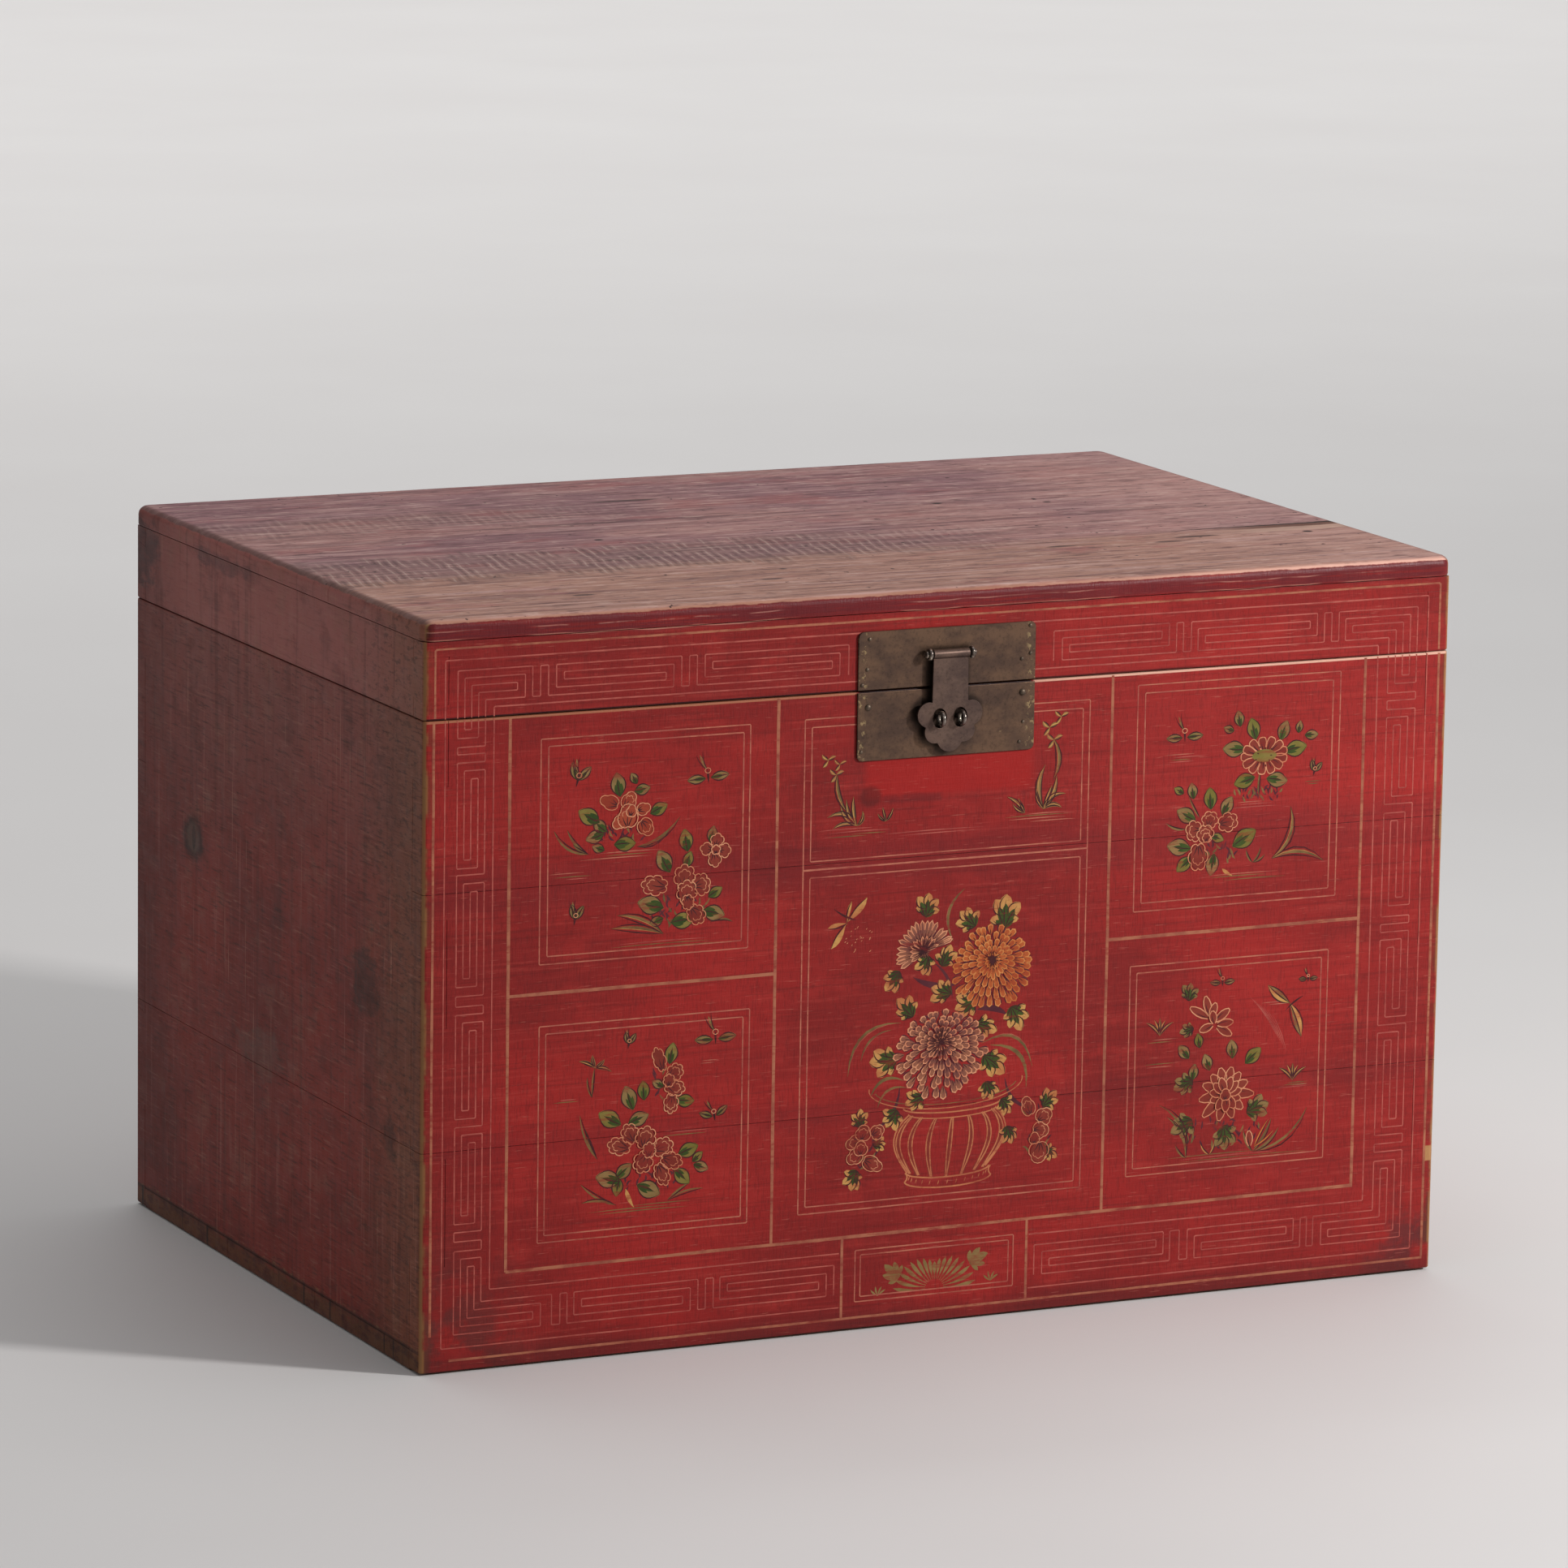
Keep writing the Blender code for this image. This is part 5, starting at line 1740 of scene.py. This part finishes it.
    def lower_right(self) -> None:
        """Paints the lotus and the blossoming branch in the lower right panel."""
        for turn, length in (
            (-6, 27), (22, 22), (50, 21), (76, 22), (104, 22), (130, 21), (158, 23), (190, 25), (222, 28),
            (256, 24), (288, 23), (318, 22),
        ):
            self.petal(onward((689, 162), turn, 4), length - 4, 10.5, turn, pointed=True)
        for step, turn in enumerate((-20, 200, 10, 170, 40, 140, 70, 110, 235, 305, 270), 1):
            self.petal(onward((689, 161), turn, 1.5), 13.5, 9.5, turn, pointed=True, step=step)
        self.lobe((688.5, 160.5, 4.6, 4.4, 90), 13, 3)
        blossom = (
            (672, 224, 150, 20), (680, 216, -30, 16), (676, 218, 200, 13), (673, 226, 105, 17),
            (680, 218, 5, 15), (674, 224, 70, 13), (678, 221, 35, 16), (677, 219, 100, 11),
        )
        for step, (x, z, turn, length) in enumerate(blossom):
            self.petal((x, z), length, 8.6, turn, pointed=True, step=step)
        for row in (
            (655, 243, 10, 80), (655, 173, 12, 200), (655, 140, 13, 210), (689, 130, 14, -80),
            (714, 146, 14, 20), (656, 216, 8, 190),
        ):
            self.spray(*row, Paint.OLIVE)
        self.each(
            self.leaf,
            (694, 197, 14, 95), (713, 190, 16, 40), (672, 188, 13, 110), (651, 198, 13, 130),
            (664, 206, 11, 100), (660, 181, 12, 80),
        )
        for x, z in ((629, 219), (749, 173)):
            spread = ((x - 12, z + 5, -0.1), (x + 12, z + 4, 0.1), (x, z + 8, 0.0))
            self.tuft((x, z - 6), spread, 3.6, Paint.OLIVE)
            self.tuft((x, z - 4), ((x - 5, z + 7, -0.05), (x + 5, z + 6, 0.05)), 2.2, Paint.STRAW)
            self.ground(x, z - 9, 30, 2)
        moth = (745, 230)
        for tip, wide in (((725, 246), 8.0), ((756, 202), 7.5)):
            self.blade(Paint.OLIVE, moth, tip, wide, 0.04, 0.6, 8)
            self.blade(Paint.STRAW, moth, tip, wide * 0.55, 0.10, 0.6, 8, 0.04)
            for bow in (-0.11, 0.03, 0.19):
                self.blade(Paint.INK, moth, tip, self.pen * 0.9, bow, 0.5)
        self.blade(Paint.INK, (741, 224), (757, 235), 1.6, 0.05, 0.6)
        for k in range(6):
            self.blade(Paint.FRET, (709 + 4 * k, 238 - 3 * k), (733 + 2 * k, 206 - 3 * k), 0.7, 0.04)
        self.each(
            self.tuft,
            ((655, 112), ((630, 157, -0.16), (637, 147, -0.12), (645, 124, 0.1)), 2.0),
            ((715, 112), ((731, 138, -0.05), (763, 144, -0.14), (738, 130, -0.1), (706, 131, 0.1)), 2.4),
            ((716, 116), ((728, 137, 0.04), (733, 128, -0.06)), 1.4, Paint.RUST),
            ((676, 113), ((668, 122, 0.1), (680, 122, -0.1)), 2.0, Paint.STRAW),
        )
        self.petal((712, 117), 13, 8, 95, pointed=True)
        self.each(self.ground, (690, 113, 130, 3), (630, 190, 30, 2), (755, 165, 26, 2), (735, 232, 30, 2))
        self.each(self.insect, (684, 251, 9, 90, 84), (761, 248, 7, 90, 84))
        self.hatch(690, 128, 40, 12, 46)

    def orchids(self) -> None:
        """Paints the two orchid sprigs under the lock."""
        left = ((347, 417, 0.12), (336, 408, -0.25), (341, 399, -0.15))
        left += ((352, 421, 0.10), (366, 411, -0.2), (358, 423, 0.05))
        right = ((533, 428, -0.12), (541, 413, 0.2), (523, 437, 0.14))
        right += ((538, 402, 0.2), (516, 420, 0.12), (529, 420, 0.0))
        self.each(
            self.tuft,
            ((361, 400), left, 4.2, Paint.OLIVE),
            ((386, 402), ((379, 408, 0.1), (392, 412, -0.1), (383, 413, 0.0)), 3.0),
            ((352, 412), ((344, 442, 0.10),), 2.8),
            ((522, 402), right, 4.6, Paint.OLIVE),
            ((506, 400), ((495, 408, 0.1), (500, 412, 0.0), (490, 414, -0.1)), 3.4),
            ((530, 424), ((529, 458, -0.16),), 3.0),
        )
        heads = ((343, 441, 7), (336, 453, 7), (346, 449, 6), (530, 456, 8), (526, 466, 8), (536, 474, 7))
        for x, z, size in heads:
            for turn in (20, 140, 230):
                tip = onward((x, z), turn, size)
                self.blade(Paint.OLIVE, (x, z), tip, size * 0.45, 0.1, 0.6)
                self.blade(Paint.STRAW, (x, z), tip, size * 0.16, 0.12, 0.6, 5, 0.1)
                self.blade(Paint.INK, (x, z), tip, self.pen * 0.7, -0.12, 0.4, 4)
        self.each(self.ground, (362, 398, 60, 4), (520, 399, 60, 4), (430, 392, 110, 2))

    def flower_bowl(self) -> None:
        """Paints the bowl of chrysanthemums with its leaves, grasses and dragonfly."""
        for foot, tip, bow, width in (
            ((446, 303), (455, 344), 0.22, 2.6), ((402, 242), (357, 203), -0.26, 2.4),
            ((394, 237), (368, 214), -0.20, 1.8), ((472, 220), (517, 198), 0.30, 2.4),
            ((480, 218), (512, 182), 0.26, 3.6), ((405, 196), (377, 186), -0.25, 3.2),
            ((408, 190), (383, 176), -0.25, 2.2),
        ):
            self.blade(Paint.EARTH, foot, tip, width, bow, 0.5, 8)
            self.blade(Paint.TAN, foot, tip, 0.7, bow + 0.03, 0.5, 8)
        for foot, tip, bow, width in (
            ((450, 269), (412, 277), 0.10, 6.0), ((468, 247), (494, 241), 0.12, 6.0),
            ((402, 192), (376, 157), 0.18, 3.4), ((493, 191), (519, 164), -0.18, 3.4),
            ((446, 258), (430, 287), -0.12, 3.0),
        ):
            self.blade(Paint.PLUM, foot, tip, width, bow, 0.5, 8)
        pale, warm = (Paint.MAUVE, Paint.PETAL), (Paint.ORANGE, Paint.RUST)
        self.each(
            self.mum,
            ((421, 297), (25, 24), 0.0, 2, pale, 0.55, (15.0, 225.0)),
            ((480, 286), (34.5, 32.5), 6.0, 5, warm, 0.22),
            ((437, 224), (39.0, 34.5), 9.0, 6, pale, 0.50),
        )
        self.each(
            self.spray,
            (423, 329, 13, 80), (461, 317, 13, 140), (491, 317, 17, 85), (397, 279, 12, 230),
            (423, 289, 11, 250), (439, 288, 12, 60), (440, 263, 13, 165), (462, 253, 15, 200),
            (409, 250, 13, 130), (500, 242, 14, -60), (472, 234, 12, -20), (393, 213, 15, 190),
            (479, 206, 15, -40), (418, 180, 12, 200), (478, 185, 11, -70), (397, 169, 12, 240),
            (493, 171, 10, -50), (497, 148, 10, -80), (530, 168, 11, 45), (368, 166, 10, 95),
            (383, 147, 8, 10), (364, 124, 11, 250), (532, 129, 9, -30),
        )
        self.bowl()
        left = (
            (383, 157, 5.9, 5.6, 35), (364, 150, 7.4, 5.9, 194), (371, 157, 6.1, 6.3, 80),
            (379, 132, 8.9, 5.8, -27), (364, 139, 6.9, 6.1, 209), (369, 145, 5.7, 5.6, 91),
        )
        right = (
            (514, 166, 7.8, 5.6, 112), (528, 157, 6.9, 6.9, 35), (524, 129, 8.5, 8.3, -94),
            (525, 146, 6.9, 6.6, -5), (520, 140, 4.6, 4.4, 91),
        )
        self.each(self.hatch, (371, 142, 13, 18, 18), (522, 145, 12, 20, 18))
        for flower in (left, right):
            self.flower(flower, 3, line=0.8)
        for foot, tip, width, bow, count in (
            ((354, 325), (371, 343), 6.0, -0.05, 7), ((354, 323), (358, 341), 3.6, 0.05, 6),
            ((353, 323), (341, 305), 5.6, 0.05, 7), ((353, 324), (338, 321), 4.0, -0.05, 6),
        ):
            self.blade(Paint.STRAW, foot, tip, width, bow, 0.62, count)
        for tip, bow in (((371, 343), 0.08), ((341, 305), -0.08), ((358, 341), 0.1), ((338, 321), 0.1)):
            self.blade(Paint.INK, (354, 324), tip, self.pen * 0.8, bow, 0.5)
        self.blade(Paint.INK, (362, 326), (343, 336), 2.0, 0.05, 0.4)
        for _ in range(26):
            dot = (352 + self.hand.uniform(0, 24), 322 - self.hand.uniform(0, 22))
            self.blade(Paint.PETAL, dot, onward(dot, 40, 1.6), 0.7, 0, 0.5, 4)

    def bowl(self) -> None:
        """Paints the ribbed bowl with its wide rim, its collar and its foot."""
        line, fine, gap = 1.4, 1.15, 5.0
        rim = (442, 190)
        self.stroke(Paint.CLAY, oval(rim, 66.5, 19.0, 176, 364, 26), 0.9)
        self.stroke(Paint.EARTH, oval(rim, 62.0, 15.5, 190, 350, 22), 0.8)
        middle, top, foot = 443.5, 168.0, 122.0
        ribs = 9
        for k in range(ribs):
            lean = math.sin(math.radians(-90 + 180 * k / (ribs - 1)))
            inner = 0 < k < ribs - 1
            for share in (0.0, -1.7, 1.7) if inner else (0.0,):
                track = []
                for i in range(11):
                    u = i / 10
                    half = 34 + 3.5 * (1 - u) + 12.5 * math.sin(math.pi * u**0.85)
                    taper = math.sin(math.pi * min(0.97, 0.05 + u)) ** 0.5
                    x = middle + 4.5 * (1 - u) + lean * half + share * taper
                    track.append((x, top + (foot - top) * u - 5.5 * (1 - lean * lean)))
                if inner and not share:
                    self.stroke(Paint.BLUSH, track, gap, rise=-0.16)
                else:
                    self.stroke(Paint.CLAY, track, fine if share else line)
        for centre, half, tall, width in (
            ((448, 168.5), 38.0, 5.5, 1.0),
            ((447.5, 173.5), 42.0, 6.0, line),
            ((444.5, 122.0), 36.0, 6.0, line),
            ((445.0, 115.0), 37.5, 7.0, line),
        ):
            self.stroke(Paint.CLAY, oval(centre, half, tall, 178, 362, 18), width)
        for x in (408.0, 482.0):
            self.stroke(Paint.CLAY, bowed((x, 122.0), (x, 115.0), 0.25 if x < middle else -0.25, 5), line)
        for x, z in oval((444.7, 118.5), 34, 6.5, 190, 350, 13):
            self.blade(Paint.CLAY, (x - 0.6, z - 1.8), (x + 0.6, z + 1.8), 1.0, 0, 0.5, 4)

    def cartouche(self) -> None:
        """Paints the small fan of leaves at the foot of the front."""
        root = (435, 27)
        fan = 17
        for k in range(fan):
            turn = 174 - 168 * k / (fan - 1)
            reach = 22 + 14 * abs(math.cos(math.radians(turn)))
            foot, tip = onward(root, turn, 8), onward(root, turn, reach)
            bow = 0.06 - 0.12 * k / (fan - 1)
            self.blade(Paint.OLIVE, foot, tip, 3.6, bow, 0.72, 7)
            self.blade(Paint.TAN, foot, tip, 0.9, bow, 0.6, 7)
        for foot, turn, low in (((405, 40), 152, (386, 26)), ((466, 44), 36, (484, 29))):
            for lean, size in ((-75, 9), (-40, 13), (-10, 17), (20, 15), (55, 11)):
                self.blade(Paint.OLIVE, foot, onward(foot, turn + lean, size), size * 0.44, 0.05, 0.62, 7)
                self.blade(Paint.TAN, foot, onward(foot, turn + lean, size * 0.8), 0.8, 0.05, 0.5)
            for lean in (-50, -15, 25, 55):
                self.blade(Paint.OLIVE, low, onward(low, 90 - lean, 8), 1.8, 0.05, 0.6)

    def build(self) -> None:
        """Draws everything and makes each panel's paint one thin relief on its body."""
        for panel, draw in (
            ("border_lines", self.borders),
            ("key_fret", self.frets),
            ("upper_left_peonies", self.upper_left),
            ("lower_left_peony", self.lower_left),
            ("upper_right_daisy", self.upper_right),
            ("lower_right_lotus", self.lower_right),
            ("orchids", self.orchids),
            ("flower_bowl", self.flower_bowl),
            ("cartouche", self.cartouche),
        ):
            self.panel = panel
            draw()
        for (panel, body), paints in self.strokes.items():
            parts = [self.relief(panel, paint.value, strokes) for paint, strokes in paints.items()]
            self.keep(joined(parts, f"painted_{panel}_{body.value}"), body)

    def relief(self, name: str, coat: Coat, strokes: list) -> Piece:
        """Makes strokes into one mesh of flattened beads that lies half in the lacquer.

        Args:
            name: the piece's name.
            coat: how the paint lies.
            strokes: points, widths and extra height of each stroke.

        Returns:
            The piece, with its place in its mesh.
        """
        curve = bpy.data.curves.new(name, "CURVE")
        curve.dimensions = "3D"
        curve.bevel_depth = 1.0
        curve.bevel_resolution = 1
        curve.use_fill_caps = True
        for track, widths, rise in strokes:
            lift = -(coat.rise + rise) * MM / coat.flat
            line = curve.splines.new("POLY")
            line.points.add(len(track) - 1)
            for bead, (x, z), width in zip(line.points, track, widths):
                bead.co = (x * MM - HALF_WIDTH, lift, z * MM, 1.0)
                bead.radius = width * MM / 2
        drawn = bpy.data.objects.new(name, curve)
        bpy.context.scene.collection.objects.link(drawn)
        only(drawn)
        bpy.ops.object.convert(target="MESH")
        piece = bpy.context.active_object
        editing(True)
        bpy.ops.mesh.select_all(action="SELECT")
        bpy.ops.transform.resize(value=(1.0, coat.flat, 1.0), center_override=(0, 0, 0))
        bpy.ops.transform.translate(value=(0, FRONT_Y, 0))
        bpy.ops.mesh.normals_make_consistent(inside=False)
        editing(False)
        bpy.ops.object.shade_smooth_by_angle(angle=math.radians(35))
        dress(piece, coat.finish)
        return piece


# Studio


@dataclass
class Studio:
    """The camera of the photograph, a pale floor and soft light."""

    place: tuple[float, float, float] = (-2.80902, -5.87290, 1.62209)
    yaw: float = math.radians(25.598)
    pitch: float = math.radians(10.855)
    roll: float = math.radians(0.880)
    lens: float = 189.34
    shift: float = -0.0022

    def camera(self) -> None:
        """Sets the camera where the photograph was taken from."""
        flat = math.cos(self.pitch)
        ahead = Vector((math.sin(self.yaw) * flat, math.cos(self.yaw) * flat, -math.sin(self.pitch)))
        level = Vector((math.cos(self.yaw), -math.sin(self.yaw), 0.0))
        above = level.cross(ahead)
        right = level * math.cos(self.roll) + above * math.sin(self.roll)
        up = above * math.cos(self.roll) - level * math.sin(self.roll)
        data = bpy.data.cameras.new("photo_camera")
        data.lens = self.lens
        data.sensor_width = 36.0
        data.sensor_fit = "HORIZONTAL"
        data.clip_end = 200.0
        data.shift_x = self.shift
        camera = bpy.data.objects.new("photo_camera", data)
        turned = Matrix((right, up, -ahead)).transposed().to_4x4()
        camera.matrix_world = Matrix.Translation(self.place) @ turned
        bpy.context.scene.collection.objects.link(camera)
        bpy.context.scene.camera = camera

    def floor(self) -> None:
        """Lays the floor."""
        bpy.ops.object.select_all(action="DESELECT")
        bpy.ops.mesh.primitive_plane_add(size=60.0, location=(0, 0, 0))
        ground = bpy.context.active_object
        ground.name = "studio_floor"
        dress(ground, StudioFloor())

    def lights(self) -> None:
        """Sets a soft key from the right, a weak fill, a wash on the floor behind and a pale sky."""
        target, below = Vector((0.0, 0.0, 0.3)), Vector((0.0, 0.0, -1.0))
        for name, place, size, power in (
            ("key", (2.5, -2.6, 2.0), 0.36, 140.0),
            ("overhead", (0.3, 0.4, 3.6), 3.0, 32.0),
            ("backdrop_wash", (4.0, 11.0, 6.0), 16.0, 700.0),
        ):
            wash = name == "backdrop_wash"
            data = bpy.data.lights.new(name, "AREA")
            data.size = size
            data.energy = power
            data.spread = math.radians(105) if wash else math.pi
            lamp = bpy.data.objects.new(name, data)
            lamp.location = place
            aim = below if wash else target - Vector(place)
            lamp.rotation_euler = aim.to_track_quat("-Z", "Y").to_euler()
            bpy.context.scene.collection.objects.link(lamp)
        world = bpy.data.worlds.new("pale_sky")
        world.use_nodes = True
        sky = world.node_tree.nodes["Background"]
        sky.inputs["Color"].default_value = linear("#e9ecef")
        sky.inputs["Strength"].default_value = 0.32
        bpy.context.scene.world = world

    def build(self) -> None:
        """Sets up the whole studio."""
        self.camera()
        self.floor()
        self.lights()
        bpy.context.scene.view_settings.view_transform = "Standard"


def main() -> None:
    """Builds the chest's sub-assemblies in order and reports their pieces."""
    logging.basicConfig(level=logging.INFO, format="%(message)s")
    Studio().build()
    for assembly in (CaseBoards(), PaintedFront(), LockSet(), BackHinges()):
        assembly.build()
        for piece in assembly.pieces:
            LOG.info("%s: %s, %d faces", type(assembly).__name__, piece.name, len(piece.data.polygons))


if __name__ == "__main__":
    main()
